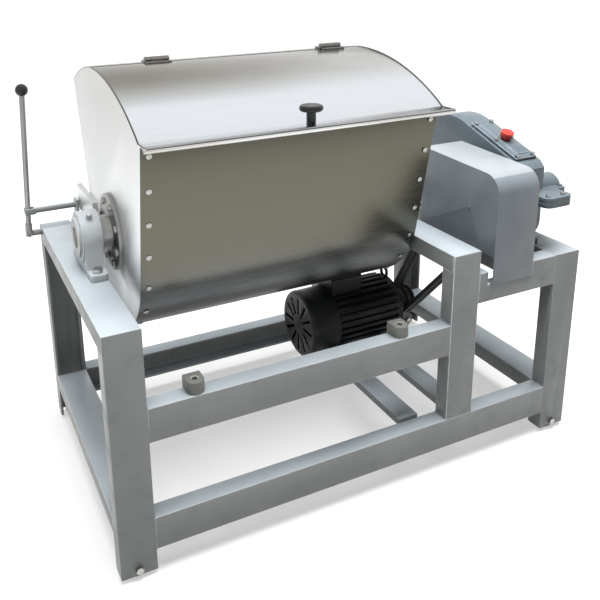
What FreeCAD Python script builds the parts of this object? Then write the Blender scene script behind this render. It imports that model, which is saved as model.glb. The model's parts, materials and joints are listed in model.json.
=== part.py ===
import FreeCAD, Part
import math
import os

# A tipping dough mixer. Build coordinates: X along the machine from the outer face of the
# left posts, Y from the outer face of the front posts towards the back, Z up from the floor.
# The finished pieces are moved so that the origin is under the middle of the machine.

V = FreeCAD.Vector
X = V(1, 0, 0)
Y = V(0, 1, 0)
Z = V(0, 0, 1)

# Frame of channel steel
FRAME_LENGTH = 1250.0
FRAME_DEPTH = 700.0
CHANNEL_FACE = 80.0
CHANNEL_SIDE = 43.0
CHANNEL_WEB = 5.0
CHANNEL_FLANGE = 8.0
POST_FOOT = 12.0
TANK_BEAM_TOP = 585.0
DRIVE_BEAM_TOP = 525.0
BOTTOM_RAIL_FOOT = 62.0
MIDDLE_RAIL_TOP = 405.0
DRIVE_BAY = 408.0
GUARD_NOTCH_DEPTH = 35.0

MOTOR_SLOT_RADIUS = 7.0
MOTOR_SLOT_TRAVEL = 22.0
REST_LUG_ROUND = 3.0

# Wheels in the feet
WHEEL_SIDE_GAP = 4.0
WHEEL_ROUND = 3.0
AXLE_NUT = 8.0
WHEEL_RADIUS = 25.0
WHEEL_WIDTH = 24.0
AXLE_RADIUS = 5.0
AXLE_CLEARANCE = 0.3
AXLE_HEAD_RADIUS = 9.0
AXLE_HEAD_HEIGHT = 6.0

# Mixing shaft, which is also the axis that the tank tips about
AXIS_ABOVE_BEAM = 77.0
SHAFT_RADIUS = 25.0
TRUNNION_RADIUS = 38.0
TRUNNION_FIT = 0.05
RUNNING_FIT = 0.06
FACE_GAP = 0.4

# Bearing blocks
BLOCK_BASE_LENGTH = 200.0
BLOCK_BASE_WIDTH = 40.0
BLOCK_INSET = 20.0
BLOCK_BASE_HEIGHT = 16.0
BLOCK_DRUM_RADIUS = 59.0
BLOCK_DRUM_WIDTH = 46.0
BLOCK_COLLAR_RADIUS = 46.0
BLOCK_COLLAR_WIDTH = 6.0
BLOCK_BOLT_SPREAD = 160.0
BLOCK_BOLT_RADIUS = 7.0
BLOCK_BASE_ROUND = 9.0
BLOCK_NECK_HALF = 62.0
BOLT_HOLE_CLEARANCE = 0.5
GREASE_CAP_LEAN = math.radians(28.0)
GREASE_CAP_LENGTH = 14.0
GREASE_CAP_RADIUS = 7.0

# Tank
TANK_LEFT = 120.0
TANK_BEAM_GAP = 16.0
SHEET = 3.0
TROUGH_RADIUS = 222.0
FRONT_LEAN = math.radians(11.5)
REAR_LEAN = math.radians(15.0)
LIP_CLEARANCE = 8.0
LID_ARC_RADIUS = 625.0
TANK_CREST = 1038.0
LID_ARC_OFFSET = 51.0
HINGE_OFFSET = 80.0
FLANGE_RADIUS = 91.0
FLANGE_THICKNESS = 10.0
FLANGE_BOLT_CIRCLE = 74.0
FLANGE_BOLTS = 8
FLANGE_BOLT_HEAD = 17.0
FLANGE_BOLT_RISE = 6.0
SHELL_BOLT_PITCH = 78.0
SHELL_BOLT_INSET = 17.0
SHELL_BOLT_MARGIN = 20.0
SHELL_BOLT_HEAD = 6.0
SHELL_BOLT_RISE = 3.5

# Lid
LID_OVERHANG = 8.0
LID_SHEET = 2.0
LID_GAP = 1.0
LID_LIP_START = 60.0
LID_LIP_FRONT = 13.0
HEM_RADIUS = 6.0
KNOB_OFFSET = 2.0
KNOB_Y = 35.0
KNOB_RADIUS = 25.0
KNOB_HEIGHT = 44.0
KNOB_STEM_RADIUS = 10.0
KNOB_CAP = 13.0
HINGE_INSETS = (153.0, 78.0)
HINGE_LENGTH = 60.0
HINGE_PIN_RADIUS = 3.0
HINGE_BARREL_RADIUS = 6.5
HINGE_LEAF = 26.0
HINGE_LEAF_SINK = 4.0
HINGE_SEAT_GAP = 0.5
END_FLANGE = 30.0

# Agitator
PADDLE_RADIUS = 198.0
PADDLE_BAR_RADIUS = 14.0
PADDLE_END_GAP = 36.0
PADDLE_HUB_RADIUS = 38.0
PADDLE_ARM_RADIUS = 12.0
PADDLE_HUB_HALF = 24.0
COUPLING_WAIST = 12.0
COUPLING_GROOVE = 5.0
COUPLING_RADIUS = 46.0
COUPLING_CASE_GAP = 35.0
COUPLING_LENGTH = 115.0

# Gearbox
CASE_END_DISTANCE = 145.0
CASE_WIDTH = 85.0
CASE_BOSS_REACH = 72.0
CASE_NOSE_REACH = 46.0
CASE_BACK_REACH = 132.0
CASE_WALL = 8.0
CASE_FLANGE = 12.0
CASE_FLANGE_THICKNESS = 13.0
CASE_NOSE_LENGTH = 70.0
CASE_NOSE_WIDTH = 90.0
CASE_NOSE_ROUND = 20.0
CASE_BOLT_RADIUS = 4.0
CASE_BOLT_SPREAD = (-262.0, -72.0, 75.0, 128.0)
BELLY_ROUND = 50.0
SEAT_THICKNESS = 15.0
SEAT_OVERHANG = 12.0
NOSE_ROUND = 16.0
ROOF_START_Z = 752.0
ROOF_SLOPE = math.radians(19.0)
ROOF_LENGTH = 192.0
ARCH_BACK = 120.0
ARCH_TOP = 831.0
ARCH_DROP = 30.0
COVER_INSET = 24.0
COVER_LENGTH = 176.0
COVER_THICKNESS = 8.0
COVER_RAISE = 4.0
COVER_BOLT_RADIUS = 6.0
BREATHER_INSET = 42.0
BREATHER_BACK = 106.0
BREATHER_RADIUS = 17.0
BEARING_CAP = 6.0
SHAFT_END_GAP = 2.0
INPUT_SHAFT_RADIUS = 14.0
MIDDLE_SHAFT_RADIUS = 16.0
INPUT_BOSS_RADIUS = 38.0
MIDDLE_BOSS_RADIUS = 40.0
OUTPUT_BOSS_RADIUS = 56.0
STAGE_1_INSET = 13.0
STAGE_1_WIDTH = 20.0
STAGE_2_INSET = 40.0
STAGE_2_WIDTH = 32.0
TOOTH_TIP = 0.9
TOOTH_ROOT = 1.15
TOOTH_FILL = 0.84
STAGE_1_MODULE = 2.0
STAGE_1_PINION_TEETH = 20
STAGE_1_WHEEL_TEETH = 70
STAGE_2_MODULE = 2.5
STAGE_2_PINION_TEETH = 20
STAGE_2_WHEEL_TEETH = 84

# Belt drive and motor
BELT_PLANE_INSET = 51.0
BIG_PULLEY_RADIUS = 98.0
SMALL_PULLEY_RADIUS = 42.0
PULLEY_WIDTH = 44.0
BELT_PITCH_SPACING = 19.0
BELT_WIDTH = 15.0
BELT_DEPTH = 10.0
BELT_PROUD = 1.5
BELT_SIDE_GAP = 0.6
PULLEY_RIM = 20.0
PULLEY_RECESS = 14.0
PULLEY_HUB_RADIUS = 30.0
MOTOR_OFFSET = 80.0
MOTOR_SHAFT_HEIGHT = 100.0
MOTOR_BODY_RADIUS = 88.0
MOTOR_FIN_HEIGHT = 10.0
MOTOR_FIN_COUNT = 30
MOTOR_BODY_LENGTH = 228.0
MOTOR_BELT_DISTANCE = 58.0
FAN_COVER_REACH = 72.0
FAN_COVER_RADIUS = 97.0
FAN_COVER_LAP = 10.0
FAN_COVER_ROUND = 10.0
FAN_COVER_SHEET = 2.0
FAN_SLOTS = 12
FAN_SLOT_WIDTH = 9.0
FAN_BLADES = 8
FAN_WIDTH = 34.0
FAN_TIP_GAP = 14.0
MOTOR_SHAFT_RADIUS = 14.0
MOTOR_BELL = 18.0
MOTOR_NOSE = 20.0
MOTOR_BEARING_RADIUS = 40.0
MOTOR_FOOT_LENGTH = 40.0
MOTOR_FOOT_EDGE = 20.0
MOTOR_FOOT_INNER = 48.0
MOTOR_FOOT_THICKNESS = 12.0
MOTOR_FOOT_WEB = 7.0
MOTOR_BOLT_RADIUS = 5.0
EYE_RADIUS = 14.0
EYE_BAR_RADIUS = 4.5
TERMINAL_INSET = 164.0
TERMINAL_LENGTH = 100.0
TERMINAL_WIDTH = 88.0
TERMINAL_HEIGHT = 40.0
TERMINAL_SINK = 14.0
TERMINAL_ROUND = 6.0
CABLE_ENTRY_RADIUS = 10.0
CABLE_ENTRY_DEPTH = 12.0
CABLE_ENTRY_RISE = 16.0
MOTOR_FOOT_SPAN = 160.0
MOTOR_FOOT_PITCH = 140.0
MOTOR_FOOT_INSET = 122.0
MOTOR_BAR_WIDTH = 56.0
MOTOR_BAR_HEIGHT = 18.0
MOTOR_BAR_RISE = 10.0

# Belt guard
GUARD_CASE_GAP = 21.0
GUARD_WIDTH = 127.0
GUARD_NOTCH_MARGIN = 8.0
GUARD_FRONT = -7.0
GUARD_BACK_GAP = 65.0
GUARD_SHEET = 2.0
GUARD_TOP_FRONT = 765.0
GUARD_TOP_BACK = 775.0
GUARD_SIDE_FOOT = 562.0
GUARD_FOOT = 20.0
GUARD_STRIP = 12.0
GUARD_SHAFT_GAP = 6.0
GUARD_EAR_INSET = 70.0
GUARD_EAR_WIDTH = 30.0
GUARD_SCREW_RADIUS = 5.0
GUARD_SCREW_INSET = 100.0
GUARD_CORNER_RADIUS = 48.0

# Lock lever
LEVER_INSET = 30.0
LEVER_PIVOT_X = -33.0
LEVER_PIVOT_DROP = 11.0
LEVER_LENGTH = 385.0
LEVER_LEAN = math.radians(3.0)
LEVER_ROD_RADIUS = 7.0
LEVER_BALL_RADIUS = 16.0
STUB_RADIUS = 8.0
STUB_FLAT = 8.0
FORK_CHEEK = 4.0
FORK_HEIGHT = 28.0
PIVOT_PIN_RADIUS = 4.0
LINK_PIN_RADIUS = 3.0
LINK_SIDE_GAP = 0.9
LINK_SLOT_HALF = 6.5
LINK_REACH = 15.0
LINK_CHEEK_GAP = 0.5
LOCK_TIP_GAP = 2.0
LOCK_TIP_CHAMFER = 1.5
LOCK_BAR_RADIUS = 8.0
LOCK_BAR_RISE = 62.0
LOCK_CLEARANCE = 0.5
GUIDE_GAP = 14.0
GUIDE_THICKNESS = 8.0
LUG_THICKNESS = 14.0
LUG_LENGTH = 186.0
LUG_EDGE = 16.0
LUG_RISE = 52.0

# Rest lugs for the tipped tank
REST_LUG_INSETS = (70.0, 121.0)
REST_LUG_WIDTH = 40.0
REST_LUG_HEIGHT = 30.0
REST_LUG_HOLE_RADIUS = 7.0

# Lines that follow from the sizes above
BOTTOM_RAIL_TOP = BOTTOM_RAIL_FOOT + CHANNEL_FACE
BEAM_UNDERSIDE = TANK_BEAM_TOP - CHANNEL_SIDE
DRIVE_BEAM_UNDERSIDE = DRIVE_BEAM_TOP - CHANNEL_SIDE
DRIVE_RAIL_FOOT = DRIVE_BEAM_TOP - CHANNEL_FACE
RIGHT_POST_X = FRAME_LENGTH - CHANNEL_FACE
CENTRE_BEAM_X = FRAME_LENGTH - DRIVE_BAY
TANK_RIGHT = CENTRE_BEAM_X - TANK_BEAM_GAP
KNOB_X = (TANK_LEFT + TANK_RIGHT) / 2 + KNOB_OFFSET
HINGE_X = (TANK_LEFT + HINGE_INSETS[0], TANK_RIGHT - HINGE_INSETS[1])
REST_LUG_X = (TANK_LEFT + REST_LUG_INSETS[0], TANK_RIGHT - REST_LUG_INSETS[1])
CASE_LEFT = FRAME_LENGTH - CASE_END_DISTANCE
COUPLING_END = CASE_LEFT - COUPLING_CASE_GAP
COUPLING_START = COUPLING_END - COUPLING_LENGTH
CENTRE_BEAM_END = CENTRE_BEAM_X + CHANNEL_FACE
AXIS_Z = TANK_BEAM_TOP + AXIS_ABOVE_BEAM
MOTOR_BAR_TOP = BOTTOM_RAIL_TOP + MOTOR_BAR_RISE
MOTOR_Z = MOTOR_BAR_TOP + MOTOR_SHAFT_HEIGHT
STAGE_1_DISTANCE = STAGE_1_MODULE * (STAGE_1_PINION_TEETH + STAGE_1_WHEEL_TEETH) / 2.0
STAGE_2_DISTANCE = STAGE_2_MODULE * (STAGE_2_PINION_TEETH + STAGE_2_WHEEL_TEETH) / 2.0
AXIS_Y = FRAME_DEPTH / 2
MIDDLE_Y = AXIS_Y - STAGE_2_DISTANCE
INPUT_Y = MIDDLE_Y - STAGE_1_DISTANCE
MOTOR_Y = AXIS_Y + MOTOR_OFFSET
HINGE_Y = AXIS_Y + HINGE_OFFSET
LID_ARC_Y = AXIS_Y + LID_ARC_OFFSET
LID_ARC_Z = TANK_CREST - LID_ARC_RADIUS
LID_LIP_TOP = LID_ARC_Z + math.sqrt(LID_ARC_RADIUS ** 2 - (LID_LIP_START - LID_ARC_Y) ** 2)
LIP_HEIGHT = LID_LIP_TOP - LID_SHEET - LIP_CLEARANCE
CASE_RIGHT = CASE_LEFT + CASE_WIDTH
FLANGE_RIGHT = CASE_RIGHT + CASE_BOSS_REACH
CASE_FRONT = INPUT_Y - CASE_NOSE_REACH
CASE_BACK = AXIS_Y + CASE_BACK_REACH
CASE_NOSE_END = CASE_FRONT - CASE_NOSE_LENGTH
NOSE_MIDDLE = (CASE_LEFT + FLANGE_RIGHT) / 2
CASE_BOLT_Y = [AXIS_Y + offset for offset in CASE_BOLT_SPREAD]
ROOF_END_Y = CASE_FRONT + NOSE_ROUND + ROOF_LENGTH
ARCH_Y = CASE_BACK - ARCH_BACK
COVER_FRONT = CASE_FRONT + COVER_INSET
COVER_BACK = COVER_FRONT + COVER_LENGTH
BREATHER_X = CASE_LEFT + BREATHER_INSET
BREATHER_Y = CASE_FRONT + BREATHER_BACK
STAGE_1_X = CASE_LEFT + STAGE_1_INSET
STAGE_2_X = CASE_LEFT + STAGE_2_INSET
SUPPORT_BAR_X = CASE_LEFT - SEAT_OVERHANG
GUARD_RIGHT = CASE_LEFT - GUARD_CASE_GAP
GUARD_LEFT = GUARD_RIGHT - GUARD_WIDTH
GUARD_BACK = AXIS_Y - GUARD_BACK_GAP
GUARD_EAR_Y = GUARD_BACK - GUARD_EAR_INSET
GUARD_SCREW_Y = GUARD_FRONT + GUARD_SCREW_INSET
BELT_PLANE_X = GUARD_LEFT + BELT_PLANE_INSET
MOTOR_BODY_END = BELT_PLANE_X - MOTOR_BELT_DISTANCE
MOTOR_BODY_START = MOTOR_BODY_END - MOTOR_BODY_LENGTH
FAN_COVER_START = MOTOR_BODY_START - FAN_COVER_REACH
TERMINAL_X = MOTOR_BODY_END - TERMINAL_INSET
MOTOR_FOOT_MIDDLE = MOTOR_BODY_END - MOTOR_FOOT_INSET
LEVER_Y = FRAME_DEPTH - LEVER_INSET
GUIDE_X = CHANNEL_FACE + GUIDE_GAP
LUG_FRONT = LEVER_Y + LUG_EDGE - LUG_LENGTH
LEVER_PIVOT_Z = TANK_BEAM_TOP - LEVER_PIVOT_DROP
LOCK_BAR_Z = LEVER_PIVOT_Z + LOCK_BAR_RISE

pieces = {}


def box(x0, x1, y0, y1, z0, z1):
    return Part.makeBox(x1 - x0, y1 - y0, z1 - z0, V(x0, y0, z0))


def rod(radius, start, end):
    run = end - start
    return Part.makeCylinder(radius, run.Length, start, run)


def rod_x(radius, x0, x1, y, z):
    return rod(radius, V(x0, y, z), V(x1, y, z))


def rod_y(radius, y0, y1, x, z):
    return rod(radius, V(x, y0, z), V(x, y1, z))


def rod_z(radius, z0, z1, x, y):
    return rod(radius, V(x, y, z0), V(x, y, z1))


def joined(shapes):
    first = shapes[0]
    if len(shapes) == 1:
        return first
    return first.multiFuse(shapes[1:]).removeSplitter()


def prism(points, sweep):
    wire = Part.makePolygon(points + [points[0]])
    return Part.Face(wire).extrude(sweep)


def hexagon_head(centre, axis, across_corners, height):
    # A six-sided bolt head that stands on a face at the centre point
    side = V(axis.y, axis.z, axis.x) * (across_corners / 2.0)
    turn = FreeCAD.Rotation(axis, 60)
    corners = [side]
    for step in range(5):
        corners.append(turn.multVec(corners[-1]))
    return prism([centre + corner for corner in corners], axis * height)


def edges_at_x(shape, x):
    # The edges that lie wholly in the plane across x
    return [edge for edge in shape.Edges if abs(edge.BoundBox.XMax - x) < 0.1 and edge.BoundBox.XLength < 0.1]


def channel(start, along, length, web_side, across):
    # A rolled channel: the web's outer face lies on the start line, the flanges point to web_side
    profile = [
        V(0, 0, 0),
        across * CHANNEL_FACE,
        across * CHANNEL_FACE + web_side * CHANNEL_SIDE,
        across * (CHANNEL_FACE - CHANNEL_FLANGE * 0.75) + web_side * CHANNEL_SIDE,
        across * (CHANNEL_FACE - CHANNEL_FLANGE * 1.25) + web_side * CHANNEL_WEB,
        across * (CHANNEL_FLANGE * 1.25) + web_side * CHANNEL_WEB,
        across * (CHANNEL_FLANGE * 0.75) + web_side * CHANNEL_SIDE,
        web_side * CHANNEL_SIDE,
    ]
    return prism([start + point for point in profile], along * length)


# Posts: the webs face out to the front and the back, and run up to the beams' tops
def post(left, front, top, coped_at):
    start_y = 0.0 if front else FRAME_DEPTH
    inward = Y if front else Y * -1
    foot = POST_FOOT if left != CENTRE_BEAM_X else BOTTOM_RAIL_TOP
    body = channel(V(left, start_y, foot), Z, top - foot, inward, X)
    cope_y0 = CHANNEL_WEB if front else FRAME_DEPTH - CHANNEL_SIDE - 1
    cope_y1 = CHANNEL_SIDE + 1 if front else FRAME_DEPTH - CHANNEL_WEB
    return body.cut(box(left - 1, left + CHANNEL_FACE + 1, cope_y0, cope_y1, coped_at, top + 1))


def make_posts():
    rows = {
        "left": (0.0, TANK_BEAM_TOP, BEAM_UNDERSIDE),
        "centre": (CENTRE_BEAM_X, TANK_BEAM_TOP, BEAM_UNDERSIDE),
        "right": (RIGHT_POST_X, DRIVE_BEAM_TOP, DRIVE_BEAM_UNDERSIDE),
    }
    for name, (left, top, coped_at) in rows.items():
        for front in (True, False):
            body = post(left, front, top, coped_at)
            if name != "centre":
                web_y0 = -1 if front else FRAME_DEPTH - CHANNEL_WEB - 1
                middle = left + CHANNEL_FACE / 2
                hole = rod_y(AXLE_RADIUS, web_y0, web_y0 + CHANNEL_WEB + 2, middle, WHEEL_RADIUS)
                body = body.cut(hole)
            side = "front" if front else "rear"
            pieces[side + "_" + name + "_post"] = body


# Top beams lie web up between the posts' webs
def make_top_beams():
    run = FRAME_DEPTH - 2 * CHANNEL_WEB
    for name, left, top in (
        ("left", 0.0, TANK_BEAM_TOP),
        ("centre", CENTRE_BEAM_X, TANK_BEAM_TOP),
        ("right", RIGHT_POST_X, DRIVE_BEAM_TOP),
    ):
        pieces[name + "_top_beam"] = channel(V(left, CHANNEL_WEB, top), Y, run, Z * -1, X)


def make_rails():
    inner_run = RIGHT_POST_X - CHANNEL_FACE
    front_line = V(CHANNEL_FACE, 0, BOTTOM_RAIL_FOOT)
    rear_line = V(CHANNEL_FACE, FRAME_DEPTH, BOTTOM_RAIL_FOOT)
    pieces["front_bottom_rail"] = channel(front_line, X, inner_run, Y, Z)
    pieces["rear_bottom_rail"] = channel(rear_line, X, inner_run, Y * -1, Z)
    side_run = FRAME_DEPTH - 2 * CHANNEL_SIDE
    side_rails = []
    for left in (0.0, RIGHT_POST_X):
        start = V(left, CHANNEL_SIDE, BOTTOM_RAIL_TOP)
        side_rails.append(channel(start, Y, side_run, Z * -1, X))
    pieces["side_bottom_rails"] = Part.makeCompound(side_rails)
    middle_start = V(CHANNEL_FACE, 0, MIDDLE_RAIL_TOP - CHANNEL_FACE)
    middle_run = CENTRE_BEAM_X - CHANNEL_FACE
    pieces["front_middle_rail"] = channel(middle_start, X, middle_run, Y, Z)


def make_drive_rails():
    run = RIGHT_POST_X - CENTRE_BEAM_END
    front = channel(V(CENTRE_BEAM_END, 0, DRIVE_RAIL_FOOT), X, run, Y, Z)
    notch_foot = DRIVE_BEAM_TOP - GUARD_NOTCH_DEPTH
    notch_left = GUARD_LEFT - GUARD_NOTCH_MARGIN
    notch_right = GUARD_RIGHT + GUARD_NOTCH_MARGIN
    front = front.cut(box(notch_left, notch_right, -1, CHANNEL_SIDE + 1, notch_foot, DRIVE_BEAM_TOP + 1))
    pieces["front_upper_beam"] = front
    rear_line = V(CENTRE_BEAM_END, FRAME_DEPTH, DRIVE_RAIL_FOOT)
    pieces["rear_upper_beam"] = channel(rear_line, X, run, Y * -1, Z)
    bar_run = FRAME_DEPTH - 2 * CHANNEL_SIDE
    bar_start = V(SUPPORT_BAR_X, CHANNEL_SIDE, DRIVE_RAIL_FOOT)
    pieces["gearbox_support_bar"] = channel(bar_start, Y, bar_run, X, Z)


make_posts()
make_top_beams()
make_rails()
make_drive_rails()


# Motor bars lie between the bottom rails, with slots that let the motor slide back to tighten the belts
def make_motor_bars():
    bars = []
    for side in (-1, 1):
        middle = MOTOR_FOOT_MIDDLE + side * MOTOR_FOOT_PITCH / 2
        left = middle - MOTOR_BAR_WIDTH / 2
        foot = MOTOR_BAR_TOP - MOTOR_BAR_HEIGHT
        bar = box(left, left + MOTOR_BAR_WIDTH, CHANNEL_SIDE, FRAME_DEPTH - CHANNEL_SIDE, foot,
                  MOTOR_BAR_TOP)
        for row in (-1, 1):
            slot_y = MOTOR_Y + row * MOTOR_FOOT_SPAN / 2
            slot = box(middle - MOTOR_SLOT_RADIUS, middle + MOTOR_SLOT_RADIUS,
                       slot_y - MOTOR_SLOT_TRAVEL, slot_y + MOTOR_SLOT_TRAVEL, foot - 1, MOTOR_BAR_TOP + 1)
            ends = [rod_z(MOTOR_SLOT_RADIUS, foot - 1, MOTOR_BAR_TOP + 1, middle, slot_y + end)
                    for end in (-MOTOR_SLOT_TRAVEL, MOTOR_SLOT_TRAVEL)]
            bar = bar.cut(joined([slot] + ends))
        bars.append(bar)
    pieces["motor_bars"] = Part.makeCompound(bars)


# Cast lugs with one rounded end, which the tipped tank comes to rest on
def make_rest_lugs():
    lugs = []
    for middle in REST_LUG_X:
        radius = REST_LUG_WIDTH / 2
        lug_top = MIDDLE_RAIL_TOP + REST_LUG_HEIGHT
        tail = box(middle - radius, middle + radius, radius, CHANNEL_SIDE + 2, MIDDLE_RAIL_TOP, lug_top)
        nose = rod_z(radius, MIDDLE_RAIL_TOP, lug_top, middle, radius)
        lug = joined([tail, nose])
        top_edges = [edge for edge in lug.Edges if edge.BoundBox.ZMin > lug_top - 0.1]
        lug = lug.makeFillet(REST_LUG_ROUND, top_edges)
        hole = rod_z(REST_LUG_HOLE_RADIUS, MIDDLE_RAIL_TOP - 1, lug_top + 1, middle, radius)
        lugs.append(lug.cut(hole))
    pieces["rest_lugs"] = Part.makeCompound(lugs)


# Wheels turn on bolts that cross the post's web and flanged space
def make_wheels():
    bolts = []
    for side_x, left in (("left", 0.0), ("right", RIGHT_POST_X)):
        middle = left + CHANNEL_FACE / 2
        for side_y, outer, inward in (("front", 0.0, 1), ("rear", FRAME_DEPTH, -1)):
            near = outer + inward * (CHANNEL_WEB + WHEEL_SIDE_GAP)
            far = near + inward * WHEEL_WIDTH
            wheel = rod_y(WHEEL_RADIUS, min(near, far), max(near, far), middle, WHEEL_RADIUS)
            edges = [edge for edge in wheel.Edges if edge.Curve.TypeId == "Part::GeomCircle"]
            wheel = wheel.makeFillet(WHEEL_ROUND, edges)
            bore = rod_y(AXLE_RADIUS + AXLE_CLEARANCE, min(near, far) - 1, max(near, far) + 1, middle,
                         WHEEL_RADIUS)
            pieces["wheel_" + side_y + "_" + side_x] = wheel.cut(bore)
            tip = far + inward * (WHEEL_SIDE_GAP + AXLE_NUT)
            shank = rod_y(AXLE_RADIUS, min(outer, tip), max(outer, tip), middle, WHEEL_RADIUS)
            head = hexagon_head(V(middle, outer, WHEEL_RADIUS), Y * -inward, 2 * AXLE_HEAD_RADIUS,
                                AXLE_HEAD_HEIGHT)
            nut_face = far + inward * WHEEL_SIDE_GAP
            nut = hexagon_head(V(middle, nut_face, WHEEL_RADIUS), Y * inward, 2 * AXLE_HEAD_RADIUS,
                               AXLE_NUT)
            bolts.append(joined([shank, head, nut]))
    pieces["axle_bolts"] = Part.makeCompound(bolts)


# Bearing blocks: a drum on a bolted base, with a raised collar on the outer side
def bearing_block(middle, outward):
    half = BLOCK_DRUM_WIDTH / 2
    drum = rod_x(BLOCK_DRUM_RADIUS, middle - half, middle + half, AXIS_Y, AXIS_Z)
    collar_end = middle + outward * (half + BLOCK_COLLAR_WIDTH)
    collar = rod_x(BLOCK_COLLAR_RADIUS, min(middle, collar_end), max(middle, collar_end), AXIS_Y, AXIS_Z)
    base_half = BLOCK_BASE_WIDTH / 2
    base_top = TANK_BEAM_TOP + BLOCK_BASE_HEIGHT
    base = box(middle - base_half, middle + base_half, AXIS_Y - BLOCK_BASE_LENGTH / 2,
               AXIS_Y + BLOCK_BASE_LENGTH / 2,
               TANK_BEAM_TOP, base_top)
    base_ends = [edge for edge in base.Edges if abs(edge.BoundBox.ZLength - BLOCK_BASE_HEIGHT) < 0.01]
    base = base.makeFillet(BLOCK_BASE_ROUND, base_ends)
    neck = prism([
        V(middle - base_half, AXIS_Y - BLOCK_DRUM_RADIUS, AXIS_Z),
        V(middle - base_half, AXIS_Y - BLOCK_NECK_HALF, base_top - 1),
        V(middle - base_half, AXIS_Y + BLOCK_NECK_HALF, base_top - 1),
        V(middle - base_half, AXIS_Y + BLOCK_DRUM_RADIUS, AXIS_Z),
    ], X * BLOCK_BASE_WIDTH)
    body = joined([base, neck, drum, collar])
    bore = rod_x(TRUNNION_RADIUS + RUNNING_FIT, middle - BLOCK_DRUM_WIDTH, middle + BLOCK_DRUM_WIDTH,
                 AXIS_Y, AXIS_Z)
    body = body.cut(bore)
    for side in (-1, 1):
        hole_y = AXIS_Y + side * BLOCK_BOLT_SPREAD / 2
        body = body.cut(rod_z(BLOCK_BOLT_RADIUS + BOLT_HOLE_CLEARANCE, TANK_BEAM_TOP - 1, base_top + 1,
                              middle, hole_y))
    lean = V(0, -math.sin(GREASE_CAP_LEAN), math.cos(GREASE_CAP_LEAN))
    root = V(middle, AXIS_Y, AXIS_Z) + lean * (BLOCK_DRUM_RADIUS - 2)
    cap = rod(GREASE_CAP_RADIUS, root, root + lean * (GREASE_CAP_LENGTH + 2))
    return joined([body, cap])


# Returns the bolts, which share one node with the motor's
def make_blocks():
    bolts = []
    rows = (("left", CHANNEL_FACE - BLOCK_INSET, -1), ("right", CENTRE_BEAM_X + BLOCK_INSET, 1))
    base_top = TANK_BEAM_TOP + BLOCK_BASE_HEIGHT
    for name, middle, outward in rows:
        pieces[name + "_bearing_block"] = bearing_block(middle, outward)
        for side in (-1, 1):
            bolt_y = AXIS_Y + side * BLOCK_BOLT_SPREAD / 2
            shank = rod_z(BLOCK_BOLT_RADIUS, TANK_BEAM_TOP, base_top, middle, bolt_y)
            head = hexagon_head(V(middle, bolt_y, base_top), Z, BLOCK_BOLT_RADIUS * 3.4,
                                BLOCK_BOLT_RADIUS * 1.3)
            bolts.append(joined([shank, head]))
    return bolts


# Tank section: a trough about the shaft's axis, straight leaning walls, and an arched top
def wall_foot(lean, side, radius):
    return V(0, AXIS_Y + side * radius * math.cos(lean), AXIS_Z - radius * math.sin(lean))


def wall_top(lean, side, radius, arch_radius):
    # Where a leaning wall meets the arch over the tank
    foot = wall_foot(lean, side, radius)
    run = V(0, side * math.sin(lean), math.cos(lean))
    middle = V(0, LID_ARC_Y, LID_ARC_Z)
    gap = foot - middle
    half_b = gap.dot(run)
    reach = -half_b + math.sqrt(half_b ** 2 - gap.dot(gap) + arch_radius ** 2)
    return foot + run * reach


def tank_region(inset, x0, x1, arch_inset=None):
    radius = TROUGH_RADIUS - inset
    arch = LID_ARC_RADIUS - (inset if arch_inset is None else arch_inset)
    front_foot = wall_foot(FRONT_LEAN, -1, radius)
    rear_foot = wall_foot(REAR_LEAN, 1, radius)
    front_top = wall_top(FRONT_LEAN, -1, radius, arch)
    rear_top = wall_top(REAR_LEAN, 1, radius, arch)
    edges = [
        Part.LineSegment(front_top, front_foot).toShape(),
        Part.Arc(front_foot, V(0, AXIS_Y, AXIS_Z - radius), rear_foot).toShape(),
        Part.LineSegment(rear_foot, rear_top).toShape(),
        Part.Arc(rear_top, V(0, LID_ARC_Y, LID_ARC_Z + arch), front_top).toShape(),
    ]
    face = Part.Face(Part.Wire(edges))
    face.translate(X * x0)
    return face.extrude(X * (x1 - x0))


def make_tank_shell():
    outer = tank_region(0.0, TANK_LEFT, TANK_RIGHT)
    inner = tank_region(SHEET, TANK_LEFT - 1, TANK_RIGHT + 1)
    shell = outer.cut(inner)
    mouth = box(TANK_LEFT - 2, TANK_RIGHT + 2, -FRAME_DEPTH, HINGE_Y, LIP_HEIGHT,
                LID_ARC_Z + 2 * LID_ARC_RADIUS)
    pieces["tank_shell"] = shell.cut(mouth)


def end_plate(outer_x, inward):
    # A flat plate with a turned edge that lies inside the shell and takes its bolts
    inner_x = outer_x + inward * SHEET
    plate = tank_region(SHEET, min(outer_x, inner_x), max(outer_x, inner_x))
    edge_x = outer_x + inward * END_FLANGE
    rim = tank_region(SHEET, min(outer_x, edge_x), max(outer_x, edge_x))
    hollow = tank_region(2 * SHEET, min(outer_x, edge_x) - 1, max(outer_x, edge_x) + 1, -LID_ARC_RADIUS)
    body = joined([plate, rim.cut(hollow)])
    return body


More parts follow.
